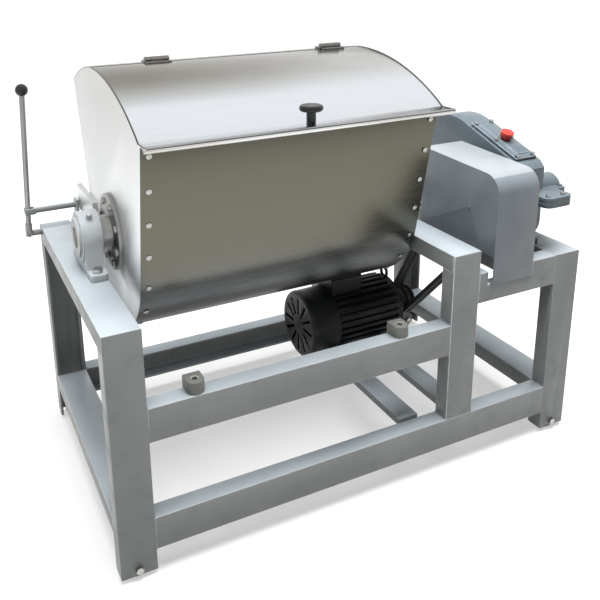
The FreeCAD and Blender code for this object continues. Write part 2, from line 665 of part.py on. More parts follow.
def make_end_plates():
    bore_from = TANK_LEFT - 1
    left = end_plate(TANK_LEFT, 1)
    left = left.cut(rod_x(TRUNNION_RADIUS, bore_from, TANK_LEFT + SHEET + 1, AXIS_Y, AXIS_Z))
    lug = box(TANK_LEFT - LUG_THICKNESS, TANK_LEFT, LUG_FRONT, LEVER_Y + LUG_EDGE,
              LOCK_BAR_Z - LUG_EDGE, LOCK_BAR_Z + LUG_RISE)
    lug_hole = rod_x(LOCK_BAR_RADIUS + LOCK_CLEARANCE, TANK_LEFT - LUG_THICKNESS - 1, TANK_LEFT + 1,
                     LEVER_Y, LOCK_BAR_Z)
    pieces["left_end_plate"] = joined([left, lug]).cut(lug_hole)
    right = end_plate(TANK_RIGHT, -1)
    bore = rod_x(TRUNNION_RADIUS, TANK_RIGHT - SHEET - 1, TANK_RIGHT + 1, AXIS_Y, AXIS_Z)
    pieces["right_end_plate"] = right.cut(bore)


def trunnion(plate_x, outward, end_x):
    # Disc bolted to the plate, with the hollow journal that the block carries
    disc_x = plate_x + outward * FLANGE_THICKNESS
    disc = rod_x(FLANGE_RADIUS, min(plate_x, disc_x), max(plate_x, disc_x), AXIS_Y, AXIS_Z)
    inner_x = plate_x - outward * SHEET
    journal = rod_x(TRUNNION_RADIUS, min(inner_x, end_x), max(inner_x, end_x), AXIS_Y, AXIS_Z)
    bore = rod_x(SHAFT_RADIUS + TRUNNION_FIT, min(inner_x, end_x) - 1, max(inner_x, end_x) + 1, AXIS_Y,
                 AXIS_Z)
    body = joined([disc, journal]).cut(bore)
    heads = []
    for number in range(FLANGE_BOLTS):
        angle = 2 * math.pi * (number + 0.5) / FLANGE_BOLTS
        centre = V(disc_x, AXIS_Y + FLANGE_BOLT_CIRCLE * math.cos(angle),
                   AXIS_Z + FLANGE_BOLT_CIRCLE * math.sin(angle))
        heads.append(hexagon_head(centre, X * outward, FLANGE_BOLT_HEAD, FLANGE_BOLT_RISE))
    return joined([body] + heads)


def make_trunnions():
    left_end = CHANNEL_FACE - BLOCK_INSET - BLOCK_DRUM_WIDTH / 2 - BLOCK_COLLAR_WIDTH
    right_end = CENTRE_BEAM_X + BLOCK_INSET + BLOCK_DRUM_WIDTH / 2 + BLOCK_COLLAR_WIDTH
    left = trunnion(TANK_LEFT, -1, left_end)
    right = trunnion(TANK_RIGHT, 1, right_end)
    pieces["trunnions"] = Part.makeCompound([left, right])


def make_shell_bolts():
    # A row of round heads down the front wall, round the trough and up the rear wall at both ends
    heads = []
    front_foot = wall_foot(FRONT_LEAN, -1, TROUGH_RADIUS)
    front_rise = LIP_HEIGHT - SHELL_BOLT_MARGIN - front_foot.z
    front_top = front_foot + V(0, -front_rise * math.tan(FRONT_LEAN), front_rise)
    rear_end = wall_top(REAR_LEAN, 1, TROUGH_RADIUS, LID_ARC_RADIUS)
    path = Part.Wire([
        Part.LineSegment(front_top, wall_foot(FRONT_LEAN, -1, TROUGH_RADIUS)).toShape(),
        Part.Arc(wall_foot(FRONT_LEAN, -1, TROUGH_RADIUS), V(0, AXIS_Y, AXIS_Z - TROUGH_RADIUS),
                 wall_foot(REAR_LEAN, 1, TROUGH_RADIUS)).toShape(),
        Part.LineSegment(wall_foot(REAR_LEAN, 1, TROUGH_RADIUS), rear_end).toShape(),
    ])
    count = int(path.Length // SHELL_BOLT_PITCH)
    points = path.discretize(Distance=SHELL_BOLT_PITCH)[:count]
    for point in points:
        if point.z > AXIS_Z - TROUGH_RADIUS * math.sin(FRONT_LEAN) and point.y < AXIS_Y:
            normal = V(0, -math.cos(FRONT_LEAN), -math.sin(FRONT_LEAN))
        elif point.z > AXIS_Z - TROUGH_RADIUS * math.sin(REAR_LEAN) and point.y > AXIS_Y:
            normal = V(0, math.cos(REAR_LEAN), -math.sin(REAR_LEAN))
        else:
            normal = (point - V(0, AXIS_Y, AXIS_Z)).normalize()
        for x in (TANK_LEFT + SHELL_BOLT_INSET, TANK_RIGHT - SHELL_BOLT_INSET):
            heads.append(shell_bolt(V(x, point.y, point.z), normal))
    pieces["shell_bolts"] = Part.makeCompound(heads)


def shell_bolt(centre, normal):
    disc = rod(SHELL_BOLT_HEAD, centre, centre + normal * SHELL_BOLT_RISE)
    return disc


# Lid: an arched sheet with a flat front lip and a rolled hem, hinged along the crest
def arch_point(y, radius):
    return V(0, y, LID_ARC_Z + math.sqrt(radius ** 2 - (y - LID_ARC_Y) ** 2))


def hinge_height():
    return arch_point(HINGE_Y, LID_ARC_RADIUS).z + HINGE_BARREL_RADIUS + HINGE_SEAT_GAP


def make_lid():
    left = TANK_LEFT - LID_OVERHANG
    right = TANK_RIGHT + LID_OVERHANG
    inner_radius = LID_ARC_RADIUS - LID_SHEET
    rear_y = HINGE_Y - LID_GAP
    middle_y = (LID_LIP_START + rear_y) / 2
    lip_top = LID_LIP_TOP
    lip_front = LID_LIP_FRONT + HEM_RADIUS
    lip_inner_start = V(0, LID_LIP_START + LID_SHEET, 0)
    inner_start = arch_point(lip_inner_start.y, inner_radius)
    edges = [
        Part.Arc(arch_point(rear_y, LID_ARC_RADIUS), arch_point(middle_y, LID_ARC_RADIUS),
                 V(0, LID_LIP_START, lip_top)).toShape(),
        Part.LineSegment(V(0, LID_LIP_START, lip_top), V(0, lip_front, lip_top)).toShape(),
        Part.LineSegment(V(0, lip_front, lip_top), V(0, lip_front, lip_top - LID_SHEET)).toShape(),
        Part.LineSegment(V(0, lip_front, lip_top - LID_SHEET),
                         V(0, LID_LIP_START, lip_top - LID_SHEET)).toShape(),
        Part.LineSegment(V(0, LID_LIP_START, lip_top - LID_SHEET), inner_start).toShape(),
        Part.Arc(inner_start, arch_point(middle_y, inner_radius),
                 arch_point(rear_y, inner_radius)).toShape(),
        Part.LineSegment(arch_point(rear_y, inner_radius), arch_point(rear_y, LID_ARC_RADIUS)).toShape(),
    ]
    face = Part.Face(Part.Wire(edges))
    face.translate(X * left)
    panel = face.extrude(X * (right - left))
    hem = rod_x(HEM_RADIUS, left, right, lip_front, lip_top - HEM_RADIUS + LID_SHEET / 2)
    hem = hem.cut(rod_x(HEM_RADIUS - LID_SHEET / 2, left - 1, right + 1, lip_front, lip_top - HEM_RADIUS
                        + LID_SHEET / 2))
    pieces["lid_panel"] = joined([panel, hem])
    knob_foot = lip_top
    stem = rod_z(KNOB_STEM_RADIUS, knob_foot, knob_foot + KNOB_HEIGHT - KNOB_CAP, KNOB_X, KNOB_Y)
    cap = rod_z(KNOB_RADIUS, knob_foot + KNOB_HEIGHT - KNOB_CAP, knob_foot + KNOB_HEIGHT, KNOB_X, KNOB_Y)
    cap = cap.makeFillet(KNOB_CAP * 0.45,
                         [edge for edge in cap.Edges if edge.Curve.TypeId == "Part::GeomCircle"])
    pieces["lid_knob"] = joined([stem, cap])


# Crest hinges: two outer knuckles and the pin on the tank, one inner knuckle on the lid
def make_hinges():
    fixed = []
    moving = []
    z = hinge_height()
    crest = arch_point(HINGE_Y, LID_ARC_RADIUS).z
    knuckle = HINGE_LENGTH / 4
    for middle in HINGE_X:
        left = middle - HINGE_LENGTH / 2
        right = middle + HINGE_LENGTH / 2
        inner_left = left + knuckle
        inner_right = right - knuckle
        outer = []
        for x0, x1 in ((left, inner_left), (inner_right, right)):
            outer.append(rod_x(HINGE_BARREL_RADIUS, x0, x1, HINGE_Y, z))
            outer.append(box(x0, x1, HINGE_Y, HINGE_Y + HINGE_LEAF, crest - HINGE_LEAF_SINK,
                             z - HINGE_PIN_RADIUS))
        outer.append(box(left, right, HINGE_Y + HINGE_BARREL_RADIUS + 1, HINGE_Y + HINGE_LEAF,
                         crest - HINGE_LEAF_SINK, z - HINGE_PIN_RADIUS))
        outer.append(rod_x(HINGE_PIN_RADIUS, left, right, HINGE_Y, z))
        body = joined(outer).cut(tank_region(0.0, left - 1, right + 1))
        fixed.append(body)
        inner = [
            rod_x(HINGE_BARREL_RADIUS, inner_left + FACE_GAP, inner_right - FACE_GAP, HINGE_Y, z),
            box(inner_left + FACE_GAP, inner_right - FACE_GAP, HINGE_Y - HINGE_LEAF, HINGE_Y,
                crest - HINGE_LEAF_SINK, z - HINGE_PIN_RADIUS),
            box(left, right, HINGE_Y - HINGE_LEAF, HINGE_Y - HINGE_BARREL_RADIUS - 1,
                crest - HINGE_LEAF_SINK, z - HINGE_PIN_RADIUS),
        ]
        bore = rod_x(HINGE_PIN_RADIUS + RUNNING_FIT, left, right, HINGE_Y, z)
        moving.append(joined(inner).cut(bore).cut(tank_region(0.0, left - 1, right + 1)))
    pieces["tank_hinge_halves"] = Part.makeCompound(fixed)
    pieces["lid_hinge_halves"] = Part.makeCompound(moving)


make_motor_bars()
make_rest_lugs()
make_wheels()
block_bolts = make_blocks()
make_tank_shell()
make_end_plates()
make_trunnions()
make_shell_bolts()
make_lid()
make_hinges()


# Agitator: a shaft through both hollow trunnions carries arms and two mixing bars
def make_agitator():
    shaft_start = CHANNEL_FACE - BLOCK_INSET - BLOCK_DRUM_WIDTH / 2
    joint_x = (COUPLING_START + COUPLING_END) / 2
    pieces["mixing_shaft"] = rod_x(SHAFT_RADIUS, shaft_start, joint_x, AXIS_Y, AXIS_Z)
    first = TANK_LEFT + SHEET + PADDLE_END_GAP
    last = TANK_RIGHT - SHEET - PADDLE_END_GAP
    bar_offset = PADDLE_RADIUS - PADDLE_BAR_RADIUS
    parts = []
    for x in (first, (first + last) / 2, last):
        hub = rod_x(PADDLE_HUB_RADIUS, x - PADDLE_HUB_HALF, x + PADDLE_HUB_HALF, AXIS_Y, AXIS_Z)
        parts.append(hub.cut(rod_x(SHAFT_RADIUS + TRUNNION_FIT, x - 2 * PADDLE_HUB_HALF,
                                   x + 2 * PADDLE_HUB_HALF,
                                   AXIS_Y, AXIS_Z)))
        for side in (-1, 1):
            near = AXIS_Y + side * (SHAFT_RADIUS + PADDLE_HUB_RADIUS) / 2
            far = AXIS_Y + side * bar_offset
            parts.append(rod_y(PADDLE_ARM_RADIUS, min(near, far), max(near, far), x, AXIS_Z))
    for side in (-1, 1):
        parts.append(rod_x(PADDLE_BAR_RADIUS, first - PADDLE_BAR_RADIUS, last + PADDLE_BAR_RADIUS,
                           AXIS_Y + side * bar_offset, AXIS_Z))
    pieces["mixing_frame"] = joined(parts)
    sleeve = rod_x(COUPLING_RADIUS, COUPLING_START, COUPLING_END, AXIS_Y, AXIS_Z)
    waist = rod_x(COUPLING_RADIUS + 1, joint_x - COUPLING_WAIST / 2, joint_x + COUPLING_WAIST / 2, AXIS_Y,
                  AXIS_Z)
    waist = waist.cut(rod_x(COUPLING_RADIUS - COUPLING_GROOVE, COUPLING_START, COUPLING_END, AXIS_Y,
                            AXIS_Z))
    bore = rod_x(SHAFT_RADIUS + TRUNNION_FIT, COUPLING_START - 1, COUPLING_END + 1, AXIS_Y, AXIS_Z)
    pieces["shaft_coupling"] = sleeve.cut(waist).cut(bore)


# Spur gear with straight-sided teeth, turned so that one tooth's middle is at the start angle
def spur_gear(module, teeth, x0, x1, y, start_angle):
    pitch_radius = module * teeth / 2.0
    tip_radius = pitch_radius + TOOTH_TIP * module
    root_radius = pitch_radius - TOOTH_ROOT * module
    half_pitch_angle = math.pi / teeth
    slope = math.tan(math.radians(20))
    half_tooth = TOOTH_FILL * math.pi * module / 4
    half_tip = (half_tooth - TOOTH_TIP * module * slope) / tip_radius
    half_root = min((half_tooth + TOOTH_ROOT * module * slope) / root_radius, half_pitch_angle * 0.92)
    points = []
    for number in range(teeth):
        middle = start_angle + 2 * half_pitch_angle * number
        for radius, offset in ((root_radius, -half_root), (tip_radius, -half_tip),
                               (tip_radius, half_tip), (root_radius, half_root)):
            angle = middle + offset
            points.append(V(x0, y + radius * math.cos(angle), AXIS_Z + radius * math.sin(angle)))
    return prism(points, X * (x1 - x0))


# Gear train: each wheel's gap faces the tooth of the pinion that drives it
def make_gear_shafts():
    stage_1 = (STAGE_1_X, STAGE_1_X + STAGE_1_WIDTH)
    stage_2 = (STAGE_2_X, STAGE_2_X + STAGE_2_WIDTH)
    inner_end = FLANGE_RIGHT - SHAFT_END_GAP
    input_shaft = rod_x(INPUT_SHAFT_RADIUS, BELT_PLANE_X - PULLEY_WIDTH / 2, inner_end, INPUT_Y, AXIS_Z)
    pinion = spur_gear(STAGE_1_MODULE, STAGE_1_PINION_TEETH, stage_1[0], stage_1[1], INPUT_Y, 0.0)
    pieces["input_shaft"] = joined([input_shaft, pinion])
    middle_shaft = rod_x(MIDDLE_SHAFT_RADIUS, CASE_LEFT + SHAFT_END_GAP, inner_end, MIDDLE_Y, AXIS_Z)
    wheel = spur_gear(STAGE_1_MODULE, STAGE_1_WHEEL_TEETH, stage_1[0], stage_1[1], MIDDLE_Y,
                      math.pi - math.pi / STAGE_1_WHEEL_TEETH)
    pinion = spur_gear(STAGE_2_MODULE, STAGE_2_PINION_TEETH, stage_2[0], stage_2[1], MIDDLE_Y, 0.0)
    pieces["intermediate_gear_shaft"] = joined([middle_shaft, wheel, pinion])
    output_shaft = rod_x(SHAFT_RADIUS, (COUPLING_START + COUPLING_END) / 2, inner_end, AXIS_Y, AXIS_Z)
    wheel = spur_gear(STAGE_2_MODULE, STAGE_2_WHEEL_TEETH, stage_2[0], stage_2[1], AXIS_Y,
                      math.pi - math.pi / STAGE_2_WHEEL_TEETH)
    pieces["output_gear_shaft"] = joined([output_shaft, wheel])


SHAFT_ROWS = ((INPUT_Y, INPUT_SHAFT_RADIUS, INPUT_BOSS_RADIUS),
              (MIDDLE_Y, MIDDLE_SHAFT_RADIUS, MIDDLE_BOSS_RADIUS),
              (AXIS_Y, SHAFT_RADIUS, OUTPUT_BOSS_RADIUS))


# Upper outline: an upright nose, a sloped roof for the inspection cover and a high rear arch
def upper_case(inset, x0, x1, foot):
    slope = math.tan(ROOF_SLOPE)
    nose = CASE_FRONT + inset
    back = CASE_BACK - inset
    roof_start = V(x0, nose + NOSE_ROUND, ROOF_START_Z - inset)
    roof_end = V(x0, ROOF_END_Y, ROOF_START_Z - inset + slope * (ROOF_END_Y - nose - NOSE_ROUND))
    arch_top = V(x0, ARCH_Y, ARCH_TOP - inset)
    arch_end = V(x0, back - ARCH_DROP, ARCH_TOP - ARCH_DROP - inset)
    edges = [
        Part.LineSegment(V(x0, nose, foot), V(x0, nose, ROOF_START_Z - NOSE_ROUND - inset)).toShape(),
        Part.LineSegment(V(x0, nose, ROOF_START_Z - NOSE_ROUND - inset), roof_start).toShape(),
        Part.LineSegment(roof_start, roof_end).toShape(),
        Part.Arc(roof_end, arch_top, arch_end).toShape(),
        Part.LineSegment(arch_end, V(x0, back, foot)).toShape(),
        Part.LineSegment(V(x0, back, foot), V(x0, nose, foot)).toShape(),
    ]
    return Part.Face(Part.Wire(edges)).extrude(X * (x1 - x0))


# Lower outline: a belly that narrows towards the seat
def lower_case(inset, x0, x1, top):
    nose = CASE_FRONT + inset
    back = CASE_BACK - inset
    floor = DRIVE_BEAM_TOP + SEAT_THICKNESS - 1 + inset
    turn = BELLY_ROUND
    edges = [
        Part.LineSegment(V(x0, nose, top), V(x0, nose, floor + turn)).toShape(),
        Part.Arc(V(x0, nose, floor + turn), V(x0, nose + turn * 0.293, floor + turn * 0.293),
                 V(x0, nose + turn, floor)).toShape(),
        Part.LineSegment(V(x0, nose + turn, floor), V(x0, back - turn, floor)).toShape(),
        Part.Arc(V(x0, back - turn, floor), V(x0, back - turn * 0.293, floor + turn * 0.293),
                 V(x0, back, floor + turn)).toShape(),
        Part.LineSegment(V(x0, back, floor + turn), V(x0, back, top)).toShape(),
        Part.LineSegment(V(x0, back, top), V(x0, nose, top)).toShape(),
    ]
    return Part.Face(Part.Wire(edges)).extrude(X * (x1 - x0))


def flange_bolt_places():
    places = [(CASE_LEFT - CASE_FLANGE / 2, y) for y in CASE_BOLT_Y]
    places += [(FLANGE_RIGHT - CASE_FLANGE / 2, y) for y in CASE_BOLT_Y]
    spread = CASE_NOSE_WIDTH / 2 - CASE_NOSE_ROUND
    places += [(NOSE_MIDDLE + side * spread, CASE_NOSE_END + CASE_NOSE_ROUND) for side in (-1, 1)]
    return places


def case_half(upper):
    side = 1 if upper else -1
    flange_z0 = AXIS_Z if upper else AXIS_Z - CASE_FLANGE_THICKNESS
    flange_z1 = AXIS_Z + CASE_FLANGE_THICKNESS if upper else AXIS_Z
    outline = upper_case if upper else lower_case
    body = outline(0.0, CASE_LEFT, CASE_RIGHT, AXIS_Z)
    hollow = outline(CASE_WALL, CASE_LEFT + CASE_WALL, CASE_RIGHT - CASE_WALL, AXIS_Z - side * 1.0)
    flange = box(CASE_LEFT - CASE_FLANGE, FLANGE_RIGHT, CASE_FRONT - CASE_FLANGE, CASE_BACK + CASE_FLANGE,
                 flange_z0, flange_z1)
    corners = [edge for edge in flange.Edges if abs(edge.BoundBox.ZLength - CASE_FLANGE_THICKNESS) < 0.01]
    flange = flange.makeFillet(CASE_FLANGE * 0.8, corners)
    nose_left = NOSE_MIDDLE - CASE_NOSE_WIDTH / 2
    nose_right = NOSE_MIDDLE + CASE_NOSE_WIDTH / 2
    nose = box(nose_left, nose_right, CASE_NOSE_END, CASE_FRONT, flange_z0, flange_z1)
    front_corners = [edge for edge in nose.Edges if edge.BoundBox.YMax < CASE_NOSE_END + 1
                     and edge.BoundBox.XLength < 0.1 and edge.BoundBox.ZLength > 1]
    nose = nose.makeFillet(CASE_NOSE_ROUND, front_corners)
    solids = [body, flange, nose]
    for y, shaft_radius, boss_radius in SHAFT_ROWS:
        boss = rod_x(boss_radius, CASE_LEFT - CASE_FLANGE, FLANGE_RIGHT, y, AXIS_Z)
        keep_foot = AXIS_Z if upper else AXIS_Z - 2 * boss_radius
        keep_top = keep_foot + 2 * boss_radius
        keep = box(CASE_LEFT - 2 * CASE_FLANGE, FLANGE_RIGHT + 1, y - 2 * boss_radius, y + 2 * boss_radius,
                   keep_foot, keep_top)
        solids.append(boss.common(keep))
    body = joined(solids).cut(hollow)
    for y, shaft_radius, boss_radius in SHAFT_ROWS:
        bore = rod_x(shaft_radius + RUNNING_FIT, CASE_LEFT - 2 * CASE_FLANGE, FLANGE_RIGHT + 1, y, AXIS_Z)
        body = body.cut(bore)
    for x, y in flange_bolt_places():
        body = body.cut(rod_z(CASE_BOLT_RADIUS + BOLT_HOLE_CLEARANCE, flange_z0 - 1, flange_z1 + 1, x, y))
    return body


def make_gearbox():
    lower = case_half(False)
    seat = box(CASE_LEFT - SEAT_OVERHANG, CASE_RIGHT + SEAT_OVERHANG / 2, CASE_FRONT, CASE_BACK,
               DRIVE_BEAM_TOP, DRIVE_BEAM_TOP + SEAT_THICKNESS)
    seat_corners = [edge for edge in seat.Edges if abs(edge.BoundBox.ZLength - SEAT_THICKNESS) < 0.01]
    pieces["gearbox_lower_case"] = joined([lower, seat.makeFillet(CASE_FLANGE, seat_corners)])
    window = box(CASE_LEFT + 3 * CASE_WALL, CASE_RIGHT - 3 * CASE_WALL, COVER_FRONT + 2 * CASE_WALL,
                 COVER_BACK - 2 * CASE_WALL, ROOF_START_Z - 4 * CASE_WALL, ARCH_TOP + CASE_WALL)
    pieces["gearbox_upper_case"] = case_half(True).cut(window)


def roof_point(x, y, rise):
    slope = math.tan(ROOF_SLOPE)
    z = ROOF_START_Z + slope * (y - CASE_FRONT - NOSE_ROUND)
    return V(x, y, z) + V(0, -math.sin(ROOF_SLOPE), math.cos(ROOF_SLOPE)) * rise


# Returns the cover's bolts, which share one node with the case bolts
def make_inspection_cover():
    def plate(rise, thickness, edge):
        x0 = CASE_LEFT + CASE_WALL + edge
        x1 = CASE_RIGHT - CASE_WALL - edge
        low = roof_point(x0, COVER_FRONT + edge, rise)
        high = roof_point(x0, COVER_BACK - edge, rise)
        up = V(0, -math.sin(ROOF_SLOPE), math.cos(ROOF_SLOPE)) * thickness
        return prism([low, high, high + up, low + up], X * (x1 - x0))

    body = plate(0.0, COVER_THICKNESS, 0.0)
    raised = plate(COVER_THICKNESS, COVER_RAISE, 2 * CASE_WALL)
    pieces["inspection_cover"] = joined([body, raised])
    up = V(0, -math.sin(ROOF_SLOPE), math.cos(ROOF_SLOPE))
    heads = []
    for x in (CASE_LEFT + 2 * CASE_WALL, CASE_RIGHT - 2 * CASE_WALL):
        for y in (COVER_FRONT + CASE_WALL, (COVER_FRONT + COVER_BACK) / 2, COVER_BACK - CASE_WALL):
            seat = roof_point(x, y, COVER_THICKNESS)
            heads.append(rod(COVER_BOLT_RADIUS, seat, seat + up * COVER_BOLT_RADIUS))
    seat = roof_point(BREATHER_X, BREATHER_Y, COVER_THICKNESS + COVER_RAISE)
    stem = rod(BREATHER_RADIUS * 0.7, seat, seat + up * BREATHER_RADIUS * 0.5)
    cap = rod(BREATHER_RADIUS, seat + up * BREATHER_RADIUS * 0.5, seat + up * BREATHER_RADIUS * 1.3)
    pieces["breather_cap"] = joined([stem, cap])
    return heads


def make_gearbox_fasteners(cover_bolts):
    bolts = list(cover_bolts)
    for x, y in flange_bolt_places():
        top = AXIS_Z + CASE_FLANGE_THICKNESS
        foot = AXIS_Z - CASE_FLANGE_THICKNESS
        shank = rod_z(CASE_BOLT_RADIUS, foot, top, x, y)
        head = hexagon_head(V(x, y, top), Z, 3.2 * CASE_BOLT_RADIUS, CASE_BOLT_RADIUS)
        nut = hexagon_head(V(x, y, foot), Z * -1, 3.2 * CASE_BOLT_RADIUS, CASE_BOLT_RADIUS)
        bolts.append(joined([shank, head, nut]))
    pieces["gearbox_bolts"] = Part.makeCompound(bolts)
    caps = []
    for y, shaft_radius, boss_radius in SHAFT_ROWS:
        cap_radius = boss_radius - 4
        right = FLANGE_RIGHT
        caps.append(rod_x(cap_radius, right, right + BEARING_CAP, y, AXIS_Z))
        left = CASE_LEFT - CASE_FLANGE
        cap = rod_x(cap_radius, left - BEARING_CAP, left, y, AXIS_Z)
        if y != MIDDLE_Y:
            cap = cap.cut(rod_x(shaft_radius + FACE_GAP, left - 2 * BEARING_CAP, left + 1, y, AXIS_Z))
        caps.append(cap)
    pieces["bearing_caps"] = Part.makeCompound(caps)


# Two grooved pulleys and the belts that run in them
def pulley(radius, y, z, bore_radius):
    half = PULLEY_WIDTH / 2
    body = rod_x(radius, BELT_PLANE_X - half, BELT_PLANE_X + half, y, z)
    for side in (-1, 1):
        middle = BELT_PLANE_X + side * BELT_PITCH_SPACING / 2
        wide = BELT_WIDTH / 2 + BELT_SIDE_GAP
        ring = Part.Face(Part.makePolygon([
            V(middle - wide - 1, y, z + radius + 1),
            V(middle - wide + 1, y, z + radius - BELT_DEPTH - BELT_SIDE_GAP),
            V(middle + wide - 1, y, z + radius - BELT_DEPTH - BELT_SIDE_GAP),
            V(middle + wide + 1, y, z + radius + 1),
            V(middle - wide - 1, y, z + radius + 1),
        ])).revolve(V(BELT_PLANE_X, y, z), X, 360)
        body = body.cut(ring)
    return body.cut(rod_x(bore_radius, BELT_PLANE_X - PULLEY_WIDTH, BELT_PLANE_X + PULLEY_WIDTH, y, z))


def belt_hull(big_radius, small_radius, x0, x1):
    # Outline round both pulleys: two arcs and their outer tangents
    big = V(x0, INPUT_Y, AXIS_Z)
    small = V(x0, MOTOR_Y, MOTOR_Z)
    run = small - big
    lean = math.asin((big_radius - small_radius) / run.Length)
    unit = V(0, run.y, run.z) * (1.0 / run.Length)
    across = V(0, -unit.z, unit.y)
    upper = across * math.cos(lean) + unit * math.sin(lean)
    lower = across * -math.cos(lean) + unit * math.sin(lean)
    edges = [
        Part.Arc(big + lower * big_radius, big - unit * big_radius, big + upper * big_radius).toShape(),
        Part.LineSegment(big + upper * big_radius, small + upper * small_radius).toShape(),
        Part.Arc(small + upper * small_radius, small + unit * small_radius,
                 small + lower * small_radius).toShape(),
        Part.LineSegment(small + lower * small_radius, big + lower * big_radius).toShape(),
    ]
    return Part.Face(Part.Wire(edges)).extrude(X * (x1 - x0))


def make_belt_drive():
    input_bore = INPUT_SHAFT_RADIUS + TRUNNION_FIT
    motor_bore = MOTOR_SHAFT_RADIUS + TRUNNION_FIT
    web = pulley(BIG_PULLEY_RADIUS, INPUT_Y, AXIS_Z, input_bore)
    recess_x = BELT_PLANE_X - PULLEY_WIDTH / 2
    recess = rod_x(BIG_PULLEY_RADIUS - PULLEY_RIM, recess_x - 1, recess_x + PULLEY_RECESS, INPUT_Y, AXIS_Z)
    recess = recess.cut(rod_x(PULLEY_HUB_RADIUS, recess_x - 2, recess_x + PULLEY_RECESS + 1, INPUT_Y,
                              AXIS_Z))
    pieces["gearbox_pulley"] = web.cut(recess)
    pieces["motor_pulley"] = pulley(SMALL_PULLEY_RADIUS, MOTOR_Y, MOTOR_Z, motor_bore)
    belts = []
    for side in (-1, 1):
        middle = BELT_PLANE_X + side * BELT_PITCH_SPACING / 2
        x0 = middle - BELT_WIDTH / 2 + 1
        x1 = middle + BELT_WIDTH / 2 - 1
        outer = belt_hull(BIG_PULLEY_RADIUS + BELT_PROUD, SMALL_PULLEY_RADIUS + BELT_PROUD, x0, x1)
        inner = belt_hull(BIG_PULLEY_RADIUS - BELT_DEPTH, SMALL_PULLEY_RADIUS - BELT_DEPTH, x0 - 1, x1 + 1)
        belts.append(outer.cut(inner))
    pieces["v_belts"] = Part.makeCompound(belts)


# Motor: a ribbed body on two feet, end bells, fan cover and terminal box
def make_motor():
    points = []
    for number in range(MOTOR_FIN_COUNT):
        middle = 2 * math.pi * number / MOTOR_FIN_COUNT
        half = math.pi / MOTOR_FIN_COUNT
        fin_radius = MOTOR_BODY_RADIUS + MOTOR_FIN_HEIGHT
        profile = ((MOTOR_BODY_RADIUS, -0.6), (fin_radius, -0.4), (fin_radius, 0.4), (MOTOR_BODY_RADIUS, 0.6))
        for radius, share in profile:
            angle = middle + half * share
            points.append(V(MOTOR_BODY_START + MOTOR_BELL, MOTOR_Y + radius * math.cos(angle),
                            MOTOR_Z + radius * math.sin(angle)))
    ribbed = prism(points, X * (MOTOR_BODY_END - MOTOR_BODY_START - 2 * MOTOR_BELL))
    bell_radius = MOTOR_BODY_RADIUS + MOTOR_FIN_HEIGHT * 0.4
    spigot_radius = FAN_COVER_RADIUS - FAN_COVER_SHEET - FACE_GAP / 2
    fan_bell = rod_x(spigot_radius, MOTOR_BODY_START, MOTOR_BODY_START + MOTOR_BELL, MOTOR_Y, MOTOR_Z)
    drive_bell = rod_x(bell_radius, MOTOR_BODY_END - MOTOR_BELL, MOTOR_BODY_END, MOTOR_Y, MOTOR_Z)
    cone = Part.makeCone(bell_radius, MOTOR_BEARING_RADIUS, MOTOR_NOSE,
                         V(MOTOR_BODY_END, MOTOR_Y, MOTOR_Z), X)
    solids = [ribbed, fan_bell, drive_bell, cone]
    for side in (-1, 1):
        foot_x = MOTOR_FOOT_MIDDLE + side * MOTOR_FOOT_PITCH / 2
        half = MOTOR_FOOT_LENGTH / 2
        for row in (-1, 1):
            outer = MOTOR_Y + row * (MOTOR_FOOT_SPAN / 2 + MOTOR_FOOT_EDGE)
            inner = MOTOR_Y + row * MOTOR_FOOT_INNER
            foot = box(foot_x - half, foot_x + half, min(outer, inner), max(outer, inner), MOTOR_BAR_TOP,
                       MOTOR_BAR_TOP + MOTOR_FOOT_THICKNESS)
            web_x = foot_x - half
            web = prism([V(web_x, inner, MOTOR_BAR_TOP),
                         V(web_x, outer, MOTOR_BAR_TOP + MOTOR_FOOT_THICKNESS),
                         V(web_x, MOTOR_Y + row * MOTOR_BODY_RADIUS * 0.9,
                           MOTOR_Z - MOTOR_BODY_RADIUS * 0.3),
                         V(web_x, inner, MOTOR_Z - MOTOR_BODY_RADIUS * 0.7)], X * MOTOR_FOOT_WEB)
            solids += [foot, web]
    ring_x = MOTOR_BODY_END - MOTOR_BELL / 2
    ring = Part.makeTorus(EYE_RADIUS, EYE_BAR_RADIUS,
                          V(ring_x, MOTOR_Y, MOTOR_Z + bell_radius + EYE_RADIUS), X)
    solids.append(ring)
    body = joined(solids)
    hollow = rod_x(MOTOR_SHAFT_RADIUS + RUNNING_FIT, MOTOR_BODY_START - 1, MOTOR_BODY_END + MOTOR_NOSE + 1,
                   MOTOR_Y, MOTOR_Z)
    body = body.cut(hollow)
    for side in (-1, 1):
        for row in (-1, 1):
            x = MOTOR_FOOT_MIDDLE + side * MOTOR_FOOT_PITCH / 2
            y = MOTOR_Y + row * MOTOR_FOOT_SPAN / 2
            hole = rod_z(MOTOR_BOLT_RADIUS + BOLT_HOLE_CLEARANCE, MOTOR_BAR_TOP - 1,
                         MOTOR_BAR_TOP + MOTOR_FOOT_THICKNESS + 1, x, y)
            body = body.cut(hole)
    pieces["motor_housing"] = body


